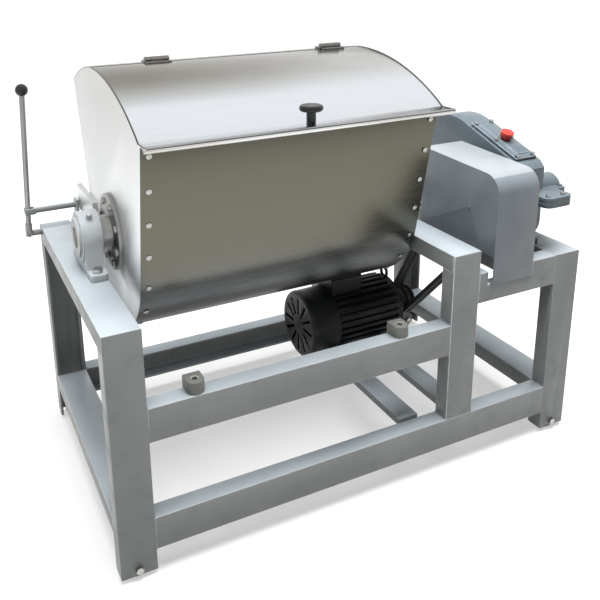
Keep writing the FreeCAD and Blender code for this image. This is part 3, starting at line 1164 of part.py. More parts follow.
def make_mounting_bolts(block_bolts):
    bolts = list(block_bolts)
    seat = MOTOR_BAR_TOP + MOTOR_FOOT_THICKNESS
    foot = MOTOR_BAR_TOP - MOTOR_BAR_HEIGHT
    for side in (-1, 1):
        for row in (-1, 1):
            x = MOTOR_FOOT_MIDDLE + side * MOTOR_FOOT_PITCH / 2
            y = MOTOR_Y + row * MOTOR_FOOT_SPAN / 2
            shank = rod_z(MOTOR_BOLT_RADIUS, foot, seat, x, y)
            head = hexagon_head(V(x, y, seat), Z, 3.4 * MOTOR_BOLT_RADIUS, MOTOR_BOLT_RADIUS)
            washer = rod_z(2.3 * MOTOR_BOLT_RADIUS, foot - MOTOR_BOLT_RADIUS / 2, foot, x, y)
            bolts.append(joined([shank, head, washer]))
    pieces["mounting_bolts"] = Part.makeCompound(bolts)


def make_motor_trim():
    start = FAN_COVER_START
    end = MOTOR_BODY_START + FAN_COVER_LAP
    cover = rod_x(FAN_COVER_RADIUS, start, end, MOTOR_Y, MOTOR_Z)
    rim = edges_at_x(cover, start)
    cover = cover.makeFillet(FAN_COVER_ROUND, rim)
    hollow = rod_x(FAN_COVER_RADIUS - FAN_COVER_SHEET, start + FAN_COVER_SHEET, end + 1, MOTOR_Y, MOTOR_Z)
    inner_rim = [edge for edge in hollow.Edges if edge.BoundBox.XMax < start + FAN_COVER_SHEET + 0.1]
    hollow = hollow.makeFillet(FAN_COVER_ROUND - FAN_COVER_SHEET, inner_rim)
    cover = cover.cut(hollow)
    slots = []
    for number in range(FAN_SLOTS):
        angle = 360.0 * number / FAN_SLOTS
        slot = box(start - 1, start + FAN_COVER_ROUND, MOTOR_Y - FAN_SLOT_WIDTH / 2,
                   MOTOR_Y + FAN_SLOT_WIDTH / 2, MOTOR_Z + FAN_COVER_RADIUS * 0.3,
                   MOTOR_Z + FAN_COVER_RADIUS * 0.82)
        slot.rotate(V(0, MOTOR_Y, MOTOR_Z), X, angle)
        slots.append(slot)
    pieces["motor_fan_cover"] = cover.cut(Part.makeCompound(slots))
    top = MOTOR_Z + MOTOR_BODY_RADIUS + MOTOR_FIN_HEIGHT
    base = box(TERMINAL_X - TERMINAL_LENGTH / 2, TERMINAL_X + TERMINAL_LENGTH / 2,
               MOTOR_Y - TERMINAL_WIDTH / 2,
               MOTOR_Y + TERMINAL_WIDTH / 2, top - TERMINAL_SINK, top + TERMINAL_HEIGHT)
    corners = [edge for edge in base.Edges if edge.BoundBox.ZMin > top - TERMINAL_SINK + 1 or
               edge.BoundBox.ZLength > TERMINAL_HEIGHT]
    base = base.makeFillet(TERMINAL_ROUND, corners)
    body_core = rod_x(MOTOR_BODY_RADIUS + MOTOR_FIN_HEIGHT + FACE_GAP / 2, MOTOR_BODY_START, MOTOR_BODY_END,
                      MOTOR_Y, MOTOR_Z)
    # The supply cable's entry opens to the rear
    entry_y = MOTOR_Y + TERMINAL_WIDTH / 2
    entry_z = top + CABLE_ENTRY_RISE
    entry = rod_y(CABLE_ENTRY_RADIUS, entry_y - CABLE_ENTRY_DEPTH, entry_y + 1, TERMINAL_X, entry_z)
    pieces["terminal_box"] = base.cut(body_core).cut(entry)


def make_rotor():
    start = FAN_COVER_START + FAN_COVER_ROUND
    end = BELT_PLANE_X + PULLEY_WIDTH / 2
    shaft = rod_x(MOTOR_SHAFT_RADIUS, start, end, MOTOR_Y, MOTOR_Z)
    hub = rod_x(MOTOR_SHAFT_RADIUS * 1.8, start, start + FAN_WIDTH, MOTOR_Y, MOTOR_Z)
    blades = []
    for number in range(FAN_BLADES):
        blade = box(start, start + FAN_WIDTH, MOTOR_Y - 2, MOTOR_Y + 2, MOTOR_Z + MOTOR_SHAFT_RADIUS,
                    MOTOR_Z + FAN_COVER_RADIUS - FAN_TIP_GAP)
        blade.rotate(V(0, MOTOR_Y, MOTOR_Z), X, 360.0 * number / FAN_BLADES)
        blades.append(blade)
    pieces["motor_shaft"] = joined([shaft, hub] + blades)


# Belt guard: a bent sheet with two side plates, open below and behind
def guard_outline(inset, x0, x1, foot):
    front = GUARD_FRONT + inset
    top_front = GUARD_TOP_FRONT - inset
    radius = GUARD_CORNER_RADIUS - inset
    start = V(x0, front, foot)
    bend_foot = V(x0, front, top_front - radius)
    bend_top = V(x0, front + radius, top_front)
    bend_middle = V(x0, front + radius * 0.293, top_front - radius * 0.293)
    back_top = V(x0, GUARD_BACK, GUARD_TOP_BACK - inset)
    back_foot = V(x0, GUARD_BACK, foot)
    edges = [
        Part.LineSegment(start, bend_foot).toShape(),
        Part.Arc(bend_foot, bend_middle, bend_top).toShape(),
        Part.LineSegment(bend_top, back_top).toShape(),
        Part.LineSegment(back_top, back_foot).toShape(),
        Part.LineSegment(back_foot, start).toShape(),
    ]
    return Part.Face(Part.Wire(edges)).extrude(X * (x1 - x0))


def make_guard():
    foot = DRIVE_BEAM_TOP - GUARD_NOTCH_DEPTH
    body = guard_outline(0.0, GUARD_LEFT, GUARD_RIGHT, foot)
    hollow = guard_outline(GUARD_SHEET, GUARD_LEFT + GUARD_SHEET, GUARD_RIGHT - GUARD_SHEET, foot - 1)
    behind = box(GUARD_LEFT + GUARD_SHEET, GUARD_RIGHT - GUARD_SHEET, GUARD_BACK - 1, GUARD_BACK + 1,
                 foot - 1,
                 GUARD_TOP_BACK - GUARD_SHEET)
    below = box(GUARD_LEFT - 1, GUARD_RIGHT + 1, GUARD_FRONT + GUARD_SHEET, GUARD_BACK + 1, foot - 1,
                GUARD_SIDE_FOOT)
    shell = body.cut(hollow).cut(behind).cut(below)
    shaft_way = rod_x(INPUT_SHAFT_RADIUS + GUARD_SHAFT_GAP, GUARD_RIGHT - 2 * GUARD_SHEET, GUARD_RIGHT + 1,
                      INPUT_Y, AXIS_Z)
    shell = shell.cut(shaft_way)
    seat = box(GUARD_LEFT, GUARD_RIGHT, GUARD_FRONT, CHANNEL_WEB + GUARD_FOOT, foot, foot + GUARD_SHEET)
    strip = box(GUARD_LEFT - GUARD_STRIP, GUARD_LEFT + GUARD_SHEET, CHANNEL_SIDE, GUARD_BACK,
                GUARD_SIDE_FOOT, GUARD_SIDE_FOOT + GUARD_SHEET)
    ear_z = AXIS_Z + OUTPUT_BOSS_RADIUS + 2 * GUARD_STRIP
    ear = box(GUARD_RIGHT - GUARD_SHEET, CASE_LEFT, GUARD_EAR_Y, GUARD_EAR_Y + GUARD_EAR_WIDTH,
              ear_z, ear_z + GUARD_SHEET)
    screw = rod_x(GUARD_SCREW_RADIUS, GUARD_LEFT - GUARD_SCREW_RADIUS / 2, GUARD_LEFT, GUARD_SCREW_Y,
                  AXIS_Z)
    pieces["belt_guard"] = joined([shell, seat, strip, ear, screw])


# Lock: a lever on a stub at the left beam pushes a bar into the lug on the tank
def make_lock():
    flat = STUB_FLAT / 2
    stub_end = LEVER_PIVOT_X - STUB_RADIUS
    stub = rod_x(STUB_RADIUS, stub_end, 0.0, LEVER_Y, LEVER_PIVOT_Z)
    for side in (-1, 1):
        y0 = LEVER_Y + flat if side > 0 else LEVER_Y - 2 * STUB_RADIUS
        stub = stub.cut(box(stub_end - 1, LEVER_PIVOT_X + 1.6 * STUB_RADIUS, y0,
                            y0 + 2 * STUB_RADIUS - flat,
                            LEVER_PIVOT_Z - 2 * STUB_RADIUS, LEVER_PIVOT_Z + 2 * STUB_RADIUS))
    cheek_end = flat + FACE_GAP + FORK_CHEEK
    pin = rod_y(PIVOT_PIN_RADIUS, LEVER_Y - cheek_end - 1, LEVER_Y + cheek_end + 1, LEVER_PIVOT_X,
                LEVER_PIVOT_Z)
    pieces["lever_stub"] = joined([stub, pin])

    fork = []
    for side in (-1, 1):
        near = LEVER_Y + side * (flat + FACE_GAP)
        far = LEVER_Y + side * cheek_end
        fork.append(box(LEVER_PIVOT_X - STUB_RADIUS, LEVER_PIVOT_X + STUB_RADIUS, min(near, far),
                        max(near, far),
                        LEVER_PIVOT_Z, LEVER_PIVOT_Z + FORK_HEIGHT))
        fork.append(rod_y(STUB_RADIUS, min(near, far), max(near, far), LEVER_PIVOT_X, LEVER_PIVOT_Z))
    bridge = box(LEVER_PIVOT_X - STUB_RADIUS, LEVER_PIVOT_X + STUB_RADIUS, LEVER_Y - cheek_end,
                 LEVER_Y + cheek_end,
                 LEVER_PIVOT_Z + FORK_HEIGHT - FORK_CHEEK, LEVER_PIVOT_Z + FORK_HEIGHT)
    bar = rod_z(LEVER_ROD_RADIUS, LEVER_PIVOT_Z + FORK_HEIGHT - FORK_CHEEK, LEVER_PIVOT_Z + LEVER_LENGTH,
                LEVER_PIVOT_X, LEVER_Y)
    lever = joined(fork + [bridge, bar])
    pin_bore = rod_y(PIVOT_PIN_RADIUS + RUNNING_FIT, LEVER_Y - 2 * cheek_end, LEVER_Y + 2 * cheek_end,
                     LEVER_PIVOT_X, LEVER_PIVOT_Z)
    link_z = LEVER_PIVOT_Z + LOCK_BAR_RISE
    slot_half = LINK_PIN_RADIUS + LINK_SIDE_GAP
    slot = box(LEVER_PIVOT_X - slot_half, LEVER_PIVOT_X + slot_half, LEVER_Y - cheek_end,
               LEVER_Y + cheek_end,
               link_z - LINK_SLOT_HALF, link_z + LINK_SLOT_HALF)
    lever = lever.cut(pin_bore).cut(slot)
    ball = Part.makeSphere(LEVER_BALL_RADIUS, V(LEVER_PIVOT_X, LEVER_Y, LEVER_PIVOT_Z + LEVER_LENGTH))
    ball = ball.cut(rod_z(LEVER_ROD_RADIUS, LEVER_PIVOT_Z, LEVER_PIVOT_Z + LEVER_LENGTH, LEVER_PIVOT_X,
                          LEVER_Y))
    for solid in (lever, ball):
        solid.rotate(V(LEVER_PIVOT_X, LEVER_Y, LEVER_PIVOT_Z), Y, math.degrees(LEVER_LEAN))
    pieces["lever_rod"] = lever
    pieces["lever_ball"] = ball

    link_x = LEVER_PIVOT_X + LOCK_BAR_RISE * math.sin(LEVER_LEAN)
    root_x = link_x + LINK_REACH
    tip_x = TANK_LEFT - LUG_THICKNESS - LOCK_TIP_GAP
    shank = rod_x(LOCK_BAR_RADIUS, root_x, tip_x, LEVER_Y, LOCK_BAR_Z)
    shank = shank.makeChamfer(LOCK_TIP_CHAMFER, edges_at_x(shank, tip_x))
    cheek_y = LEVER_ROD_RADIUS + LINK_CHEEK_GAP
    parts = [shank]
    for side in (-1, 1):
        near = LEVER_Y + side * cheek_y
        far = LEVER_Y + side * (cheek_y + FORK_CHEEK)
        parts.append(box(link_x - LOCK_BAR_RADIUS, root_x + FORK_CHEEK, min(near, far), max(near, far),
                         LOCK_BAR_Z - LOCK_BAR_RADIUS, LOCK_BAR_Z + LOCK_BAR_RADIUS))
    parts.append(box(root_x, root_x + FORK_CHEEK, LEVER_Y - cheek_y - FORK_CHEEK,
                     LEVER_Y + cheek_y + FORK_CHEEK,
                     LOCK_BAR_Z - LOCK_BAR_RADIUS, LOCK_BAR_Z + LOCK_BAR_RADIUS))
    parts.append(rod_y(LINK_PIN_RADIUS, LEVER_Y - cheek_y - FORK_CHEEK, LEVER_Y + cheek_y + FORK_CHEEK,
                       link_x, LOCK_BAR_Z))
    pieces["lock_bar"] = joined(parts)

    plate = box(GUIDE_X, GUIDE_X + GUIDE_THICKNESS, LEVER_Y - 2 * LOCK_BAR_RADIUS,
                LEVER_Y + 2 * LOCK_BAR_RADIUS,
                BEAM_UNDERSIDE, LOCK_BAR_Z + 2 * LOCK_BAR_RADIUS)
    arm = box(CHANNEL_FACE, GUIDE_X + GUIDE_THICKNESS, LEVER_Y - 2 * LOCK_BAR_RADIUS,
              LEVER_Y + 2 * LOCK_BAR_RADIUS,
              BEAM_UNDERSIDE, BEAM_UNDERSIDE + GUIDE_THICKNESS)
    guide = joined([plate, arm])
    pieces["lock_guide"] = guide.cut(rod_x(LOCK_BAR_RADIUS + RUNNING_FIT, GUIDE_X - 1,
                                           GUIDE_X + GUIDE_THICKNESS + 1,
                                           LEVER_Y, LOCK_BAR_Z))


make_agitator()
make_gear_shafts()
make_gearbox()
cover_bolts = make_inspection_cover()
make_gearbox_fasteners(cover_bolts)
make_belt_drive()
make_motor()
make_mounting_bolts(block_bolts)
make_motor_trim()
make_rotor()
make_guard()
make_lock()

# The origin goes under the middle of the whole machine
bounds = Part.makeCompound(list(pieces.values())).optimalBoundingBox(False, False)
ORIGIN = V((bounds.XMin + bounds.XMax) / 2, (bounds.YMin + bounds.YMax) / 2, bounds.ZMin)

os.makedirs("parts", exist_ok=True)
for name, shape in pieces.items():
    placed = shape.copy()
    placed.translate(ORIGIN * -1)
    placed.exportStep("parts/" + name + ".step")
print("origin", ORIGIN, "size", bounds.XLength, bounds.YLength, bounds.ZLength, "pieces", len(pieces))
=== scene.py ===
# %% [markdown]
# A tipping dough mixer: a folded stainless tank hangs between two cast bearing blocks on a frame
# of welded channel, and beside it a foot motor, two belts and a gearbox turn the mixing shaft. The
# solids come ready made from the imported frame, in metres. This file dresses them: it sets up the
# view, mixes the finishes, rounds the corners and adds the small parts that the solids leave out.

# %% Load the frame
import math

import bmesh
import bpy
from mathutils import Matrix, Vector
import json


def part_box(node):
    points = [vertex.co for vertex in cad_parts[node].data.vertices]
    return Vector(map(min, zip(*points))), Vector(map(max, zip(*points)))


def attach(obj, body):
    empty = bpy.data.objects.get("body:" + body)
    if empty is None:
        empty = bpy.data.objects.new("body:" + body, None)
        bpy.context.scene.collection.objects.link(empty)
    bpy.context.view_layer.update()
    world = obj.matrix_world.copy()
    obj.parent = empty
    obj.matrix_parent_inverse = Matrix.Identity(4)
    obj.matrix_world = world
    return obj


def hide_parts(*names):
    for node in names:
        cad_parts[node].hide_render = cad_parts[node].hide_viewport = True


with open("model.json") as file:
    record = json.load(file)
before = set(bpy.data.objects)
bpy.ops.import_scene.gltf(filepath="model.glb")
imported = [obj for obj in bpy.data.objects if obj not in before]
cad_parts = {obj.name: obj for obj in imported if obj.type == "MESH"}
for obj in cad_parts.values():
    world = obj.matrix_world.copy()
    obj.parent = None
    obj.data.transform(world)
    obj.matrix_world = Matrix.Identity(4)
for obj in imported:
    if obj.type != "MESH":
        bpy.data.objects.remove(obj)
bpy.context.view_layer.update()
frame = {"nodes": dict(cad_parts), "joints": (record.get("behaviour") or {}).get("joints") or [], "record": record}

nodes = frame["nodes"]
record = frame["record"]
slot_of = {row["node"]: row["material_slot"] for row in record["subparts"]}
body_of_node = {}
for body_name, members in record["behaviour"]["bodies"].items():
    for member in members:
        body_of_node[member] = body_name

# %% [markdown]
# The photograph was taken from standing height, a little to the left of the front, and was
# cropped afterwards, so the lens axis does not go through the middle of the picture. A camera that
# is turned to fit would draw the uprights at other angles, so the crop is repeated with the
# camera's shift instead. A slight roll follows the tilt of the uprights.

# %% Camera
CAMERA_PLACE = Vector((-0.865, -1.632, 1.282))
CAMERA_TURN = math.radians(-24.92)
CAMERA_DIP = math.radians(73.96)
CAMERA_ROLL = math.radians(-1.10)
LENS = 44.64
SENSOR_WIDTH = 36.0
SHIFT_ACROSS = 0.0636
SHIFT_UP = -0.222


def new_object(name, data):
    obj = bpy.data.objects.new(name, data)
    bpy.context.scene.collection.objects.link(obj)
    return obj


def make_camera():
    data = bpy.data.cameras.new("photo_view")
    data.lens = LENS
    data.sensor_width = SENSOR_WIDTH
    data.shift_x = SHIFT_ACROSS
    data.shift_y = SHIFT_UP
    camera = new_object("photo_view", data)
    turn = Matrix.Rotation(CAMERA_TURN, 4, "Z")
    dip = Matrix.Rotation(CAMERA_DIP, 4, "X")
    roll = Matrix.Rotation(CAMERA_ROLL, 4, "Z")
    camera.matrix_world = Matrix.Translation(CAMERA_PLACE) @ turn @ dip @ roll
    bpy.context.scene.camera = camera


make_camera()
bpy.context.scene.view_settings.view_transform = "Standard"
print("camera at", CAMERA_PLACE)

# %% [markdown]
# A material is a tree of nodes, and written out in full each one takes a page. Two small helpers
# keep the trees short: one adds a node and sets its values, and one feeds a socket from another
# socket or from a plain value. Most patterns here start at the object's own coordinates, in
# metres, so a pattern has a real size and moves with its piece.

# %% Adding and feeding nodes


def feed(tree, source, target):
    # A socket is joined to the target, and a plain value is typed into it
    if isinstance(source, bpy.types.NodeSocket):
        tree.links.new(source, target)
    else:
        target.default_value = source


def add(tree, kind, **values):
    node = tree.nodes.new(kind)
    for key, value in values.items():
        if hasattr(node, key):
            setattr(node, key, value)
        else:
            node.inputs[key.replace("_", " ")].default_value = value
    return node


def object_place(tree):
    return add(tree, "ShaderNodeTexCoord").outputs["Object"]


print("helpers", feed.__name__, add.__name__, object_place.__name__)

# %% [markdown]
# Every finish needs the same few steps: a noise for what is uneven, a new range for its values,
# a sum or a product, and two colours mixed by a mask. Each step is a helper that gives back the
# socket to go on from.

# %% Noise, maths and colour
# A Mix node has a set of sockets for each kind of data, and these are the places of the colour ones
MIX_FACTOR, MIX_FIRST, MIX_SECOND, MIX_RESULT = 0, 6, 7, 2


def noise(tree, place, scale, detail, stretch=None):
    if stretch is not None:
        mapping = add(tree, "ShaderNodeMapping", Scale=stretch)
        feed(tree, place, mapping.inputs["Vector"])
        place = mapping.outputs["Vector"]
    texture = add(tree, "ShaderNodeTexNoise", Detail=detail)
    feed(tree, scale, texture.inputs["Scale"])
    feed(tree, place, texture.inputs["Vector"])
    return texture.outputs["Fac"]


def remap(tree, source, low, high, to_low=0.0, to_high=1.0):
    node = add(tree, "ShaderNodeMapRange", From_Min=low, From_Max=high, To_Min=to_low, To_Max=to_high)
    feed(tree, source, node.inputs["Value"])
    return node.outputs["Result"]


def math_node(tree, operation, first, second):
    node = add(tree, "ShaderNodeMath", operation=operation)
    feed(tree, first, node.inputs[0])
    feed(tree, second, node.inputs[1])
    return node.outputs[0]


def mix_colour(tree, factor, first, second, mode="MIX"):
    node = add(tree, "ShaderNodeMix", data_type="RGBA", blend_type=mode)
    feed(tree, factor, node.inputs[MIX_FACTOR])
    feed(tree, first, node.inputs[MIX_FIRST])
    feed(tree, second, node.inputs[MIX_SECOND])
    return node.outputs[MIX_RESULT]


def opaque(colour):
    return (*colour, 1.0)


print("helpers", noise.__name__, remap.__name__, math_node.__name__, mix_colour.__name__)

# %% [markdown]
# What several finishes share becomes a node group with named inputs, built once, so that each
# finish can use it with its own values. A group could also be copied node by node into every
# material, but then a change would have to be made in each of them.

# %% Node groups


def new_group(name, inputs, outputs):
    group = bpy.data.node_groups.new(name, "ShaderNodeTree")
    for label, kind, value in inputs:
        socket = group.interface.new_socket(label, in_out="INPUT", socket_type=kind)
        socket.default_value = value
    for label in outputs:
        group.interface.new_socket(label, in_out="OUTPUT", socket_type="NodeSocketFloat")
    return group, group.nodes.new("NodeGroupInput"), group.nodes.new("NodeGroupOutput")


def use_group(tree, group, **values):
    node = tree.nodes.new("ShaderNodeGroup")
    node.node_tree = group
    for key, value in values.items():
        node.inputs[key].default_value = value
    return node


print("helpers", new_group.__name__, use_group.__name__)

# %% [markdown]
# Sheet steel that was drawn over a brush carries thousands of fine parallel scratches. They could
# be a picture, but a noise that is stretched along one direction gives them at any size. It drives
# the roughness and a very shallow bump. The direction is an input, because each sheet was cut its
# own way. A broad second noise is the uneven sheen of a large sheet.

# %% Brushed grain group
GRAIN_ALONG_TANK = (1.0, 90.0, 90.0)
GRAIN_UPRIGHT = (90.0, 90.0, 1.0)
GRAIN_FINENESS = 9.0
SHEEN_SIZE = 3.2


def make_brushed_grain():
    group, begin, finish = new_group(
        "brushed_grain",
        [("Grain", "NodeSocketVector", GRAIN_ALONG_TANK),
         ("Fineness", "NodeSocketFloat", GRAIN_FINENESS)],
        ["Scratch", "Cloud"],
    )
    place = object_place(group)
    stretched = add(group, "ShaderNodeVectorMath", operation="MULTIPLY")
    feed(group, place, stretched.inputs[0])
    feed(group, begin.outputs["Grain"], stretched.inputs[1])
    scratch = noise(group, stretched.outputs[0], begin.outputs["Fineness"], detail=2.0)
    feed(group, scratch, finish.inputs["Scratch"])
    feed(group, noise(group, place, SHEEN_SIZE, detail=4.0), finish.inputs["Cloud"])
    return group


brushed_grain = make_brushed_grain()
print("group", brushed_grain.name, "nodes", len(brushed_grain.nodes))

# %% [markdown]
# Paint on a workshop frame is never even: broad clouds where the spray gun passed, small stains,
# and a fine orange peel. They differ only in how fine they are, so a loop makes one noise for
# each, and the group gives all three as masks.

# %% Worn paint group
WORN_LAYERS = {  # how fine each noise is, and how much detail it has
    "Cloud": (4.0, 4.0),
    "Stain": (26.0, 6.0),
    "Peel": (420.0, 2.0),
}


def make_worn_paint():
    sizes = [(layer + " size", "NodeSocketFloat", size) for layer, (size, _) in WORN_LAYERS.items()]
    group, begin, finish = new_group("worn_paint", sizes, list(WORN_LAYERS))
    place = object_place(group)
    for layer, (_, detail) in WORN_LAYERS.items():
        mask = noise(group, place, begin.outputs[layer + " size"], detail)
        feed(group, mask, finish.inputs[layer])
    return group


worn_paint = make_worn_paint()
print("group", worn_paint.name, "masks", list(WORN_LAYERS))

# %% [markdown]
# Every finish starts from the Principled shader. Values that are the same all over are typed on
# it, and a bump node turns a mask into tiny hills on the surface, which costs no extra faces.

# %% Start of a finish


def finish_base(name, metallic, roughness, specular=0.5, coat=0.0):
    material = bpy.data.materials.new(name)
    material.use_nodes = True
    tree = material.node_tree
    shader = tree.nodes["Principled BSDF"]
    shader.inputs["Metallic"].default_value = metallic
    shader.inputs["Roughness"].default_value = roughness
    shader.inputs["Specular IOR Level"].default_value = specular
    shader.inputs["Coat Weight"].default_value = coat
    return material, tree, shader


def add_bump(tree, shader, height, strength, distance):
    bump = add(tree, "ShaderNodeBump", Strength=strength, Distance=distance)
    feed(tree, height, bump.inputs["Height"])
    feed(tree, bump.outputs["Normal"], shader.inputs["Normal"])


finishes = {}
print("helpers", finish_base.__name__, add_bump.__name__)

# %% [markdown]
# A painted finish has two close tones that the clouds mix, with stains that are darker still.
# Along the narrow rounds a brighter tone is laid, a painted highlight as if they caught the light,
# and the faces that look up get a paler tone, a painted sheen of the bright sky. Those places could
# be found inside each material, but a mark on the faces is simpler. So the pieces will carry two
# attributes, rim and top, and the paint reads them.

# %% Paint
CLOUD_SPAN = (0.35, 0.68)
STAIN_SPAN = (0.58, 0.8)
STAIN_DEPTH = 0.72
RIM_HIGHLIGHT_GAIN = 2.3
RIM_HIGHLIGHT_LIFT = 0.02
MARK_SPAN = (0.3, 0.6)
RIM_HIGHLIGHT_AT_LEAST = 0.35
TOP_SHEEN_AT_LEAST = 0.75
GLOSS_SPAN = (0.3, 0.75)
GLOSSIER = 0.08
DULLER = 0.14
PEEL_HEIGHT = 0.0006


def marked(tree, mark, wear, at_least):
    # The faces that carry the mark, for a painted highlight on the rounds and a painted sheen on the tops, made a
    # little uneven by the wear
    spot = add(tree, "ShaderNodeAttribute", attribute_name=mark)
    return math_node(tree, "MULTIPLY", spot.outputs["Fac"], remap(tree, wear, *MARK_SPAN, at_least, 1.0))


def painted(name, colour, dark, roughness=0.42, metallic=0.0, peel=0.25, coat=0.0, stains=0.3,
            specular=0.5, top=None):
    material, tree, shader = finish_base(name, metallic, roughness, specular, coat)
    wear = use_group(tree, worn_paint)
    cloud = remap(tree, wear.outputs["Cloud"], *CLOUD_SPAN)
    stain = remap(tree, wear.outputs["Stain"], *STAIN_SPAN, 0.0, stains)
    stain_colour = [part * STAIN_DEPTH for part in dark]
    # A brighter tone along the rounds: a painted highlight, as if they caught the light
    rim_highlight_colour = [min(1.0, part * RIM_HIGHLIGHT_GAIN + RIM_HIGHLIGHT_LIFT) for part in colour]
    tone = mix_colour(tree, cloud, opaque(dark), opaque(colour))
    tone = mix_colour(tree, stain, tone, opaque(stain_colour))
    rim_highlight = marked(tree, "rim", wear.outputs["Stain"], RIM_HIGHLIGHT_AT_LEAST)
    tone = mix_colour(tree, rim_highlight, tone, opaque(rim_highlight_colour))
    # The faces that look up get the top tone, a painted sheen of the bright sky
    if top is not None:
        top_sheen = marked(tree, "top", wear.outputs["Cloud"], TOP_SHEEN_AT_LEAST)
        tone = mix_colour(tree, top_sheen, tone, opaque(top))
    feed(tree, tone, shader.inputs["Base Color"])
    gloss = remap(tree, wear.outputs["Stain"], *GLOSS_SPAN, roughness - GLOSSIER, roughness + DULLER)
    feed(tree, gloss, shader.inputs["Roughness"])
    add_bump(tree, shader, wear.outputs["Peel"], peel, PEEL_HEIGHT)
    return material


print("paint reads its masks from", worn_paint.name)

# %% [markdown]
# The frame's silver paint holds a little metal powder, so a small part of it is metallic. Steel
# with a thin coat over it could be mixed in instead, but one shader is plainer and bakes well. The
# guard is folded from sheet and carries the same silver paint, but it is given a darker, bluer,
# slightly glossier tone with fewer stains, a painted shade where the tank shades its side. Both get
# their own pale tone for the faces that look up, a painted sheen of the bright sky.

# %% Silver paint of the frame and the guard
# Its top tone is a painted sheen of the bright sky on the faces that look up
finishes["frame_paint"] = painted(
    "silver_paint", (0.187, 0.193, 0.193), (0.152, 0.158, 0.16),
    roughness=0.4, metallic=0.15, stains=0.5, top=(0.31, 0.345, 0.37))
# The guard's darker, bluer tone is painted shade, where the tank shades its side
shaded_guard_paint = painted(
    "shaded_guard_paint", (0.15, 0.168, 0.184), (0.12, 0.137, 0.152),
    roughness=0.38, metallic=0.2, stains=0.2, top=(0.22, 0.238, 0.252))
print("silver paints", finishes["frame_paint"].name, shaded_guard_paint.name)

# %% [markdown]
# Castings keep the grain of the sand that they were poured in, and enamel only softens it. The
# same paint helper gives that with a much stronger peel. The gearbox and the motor are enamelled,
# with a thin clear coat on the gearbox, and the bearing blocks have a pale, dry coat.

# %% Castings and enamel
finishes["bare_casting"] = painted(
    "grey_casting", (0.38, 0.40, 0.415), (0.27, 0.287, 0.30), metallic=0.2, peel=0.9)
finishes["gearbox_paint"] = painted(
    "gearbox_enamel", (0.09, 0.112, 0.128), (0.055, 0.07, 0.08),
    roughness=0.34, peel=0.8, coat=0.08, specular=0.35)
finishes["cover_paint"] = painted(
    "cover_enamel", (0.085, 0.105, 0.12), (0.055, 0.068, 0.078),
    roughness=0.35, peel=0.4, coat=0.08, specular=0.35)
finishes["motor_paint"] = painted(
    "motor_enamel", (0.013, 0.014, 0.016), (0.007, 0.008, 0.009), roughness=0.38, peel=0.5, specular=0.22)
lug_casting = painted(
    "lug_casting", (0.15, 0.155, 0.14), (0.09, 0.095, 0.085), roughness=0.5, metallic=0.1, peel=0.9)
pulley_iron = painted(
    "pulley_iron", (0.035, 0.035, 0.036), (0.018, 0.018, 0.019), roughness=0.4, metallic=0.3, peel=0.4)
print("castings and enamel", lug_casting.name, pulley_iron.name)

# %% [markdown]
# The knob and the lever's ball are moulded black plastic, nearly smooth, and the breather's cap is
# red. The wheels are nylon and the belts dull rubber. They are even in tone, so the two colours of
# the paint helper lie close together.

# %% Plastic, nylon and rubber
finishes["black_plastic"] = painted(
    "black_knob", (0.009, 0.009, 0.01), (0.006, 0.006, 0.006),
    roughness=0.28, peel=0.05, coat=0.05, specular=0.3)
finishes["red_plastic"] = painted("red_cap", (0.45, 0.03, 0.02), (0.33, 0.02, 0.015), roughness=0.35)
finishes["wheel_nylon"] = painted("wheel_nylon", (0.34, 0.34, 0.33), (0.25, 0.25, 0.24), roughness=0.55)
finishes["belt_rubber"] = painted("belt_rubber", (0.02, 0.02, 0.02), (0.013, 0.013, 0.013), roughness=0.7)
print("finishes so far", len(finishes))

# %% [markdown]
# Bare steel is all metal, so its colour is the tone of its mirror image, and the brushed grain
# makes that image soft along one direction. The scratches change the roughness a little from line
# to line, which shows better than a strong bump would. A tint may change the tone at one place.

# %% Bare steel
STEEL_CLOUD_SPAN = (0.34, 0.68)
SCRATCH_SPAN = (0.3, 0.7)
SCRATCH_GLOSS = 0.06
SCRATCH_BUMP = 0.12
SCRATCH_HEIGHT = 0.0002


def steel_base(name, roughness, grain):
    material, tree, shader = finish_base(name, 1.0, roughness)
    marks = use_group(tree, brushed_grain, Grain=grain)
    scratch = marks.outputs["Scratch"]
    gloss = remap(tree, scratch, *SCRATCH_SPAN, roughness - SCRATCH_GLOSS, roughness + SCRATCH_GLOSS)
    feed(tree, gloss, shader.inputs["Roughness"])
    add_bump(tree, shader, scratch, SCRATCH_BUMP, SCRATCH_HEIGHT)
    return material, tree, marks


def give_tone(tree, tone, tint):
    if tint is not None:
        tone = tint(tree, tone)
    feed(tree, tone, tree.nodes["Principled BSDF"].inputs["Base Color"])


def brushed_metal(name, colour, dark, roughness, grain=GRAIN_ALONG_TANK, tint=None):
    material, tree, marks = steel_base(name, roughness, grain)
    cloud = remap(tree, marks.outputs["Cloud"], *STEEL_CLOUD_SPAN)
    give_tone(tree, mix_colour(tree, cloud, opaque(dark), opaque(colour)), tint)
    return material


finishes["stainless_sheet"] = brushed_metal(
    "stainless_sheet", (0.45, 0.44, 0.42), (0.38, 0.37, 0.35), 0.34, GRAIN_UPRIGHT)
finishes["polished_stainless"] = brushed_metal(
    "polished_stainless", (0.60, 0.59, 0.57), (0.5, 0.49, 0.47), 0.2)
finishes["bright_fasteners"] = brushed_metal("zinc_fasteners", (0.5, 0.5, 0.48), (0.38, 0.38, 0.37), 0.35)
finishes["machined_steel"] = brushed_metal("machined_steel", (0.36, 0.36, 0.35), (0.27, 0.27, 0.26), 0.38)
hinge_steel = brushed_metal("hinge_steel", (0.26, 0.255, 0.24), (0.17, 0.165, 0.155), 0.35)
print("finishes", len(finishes))

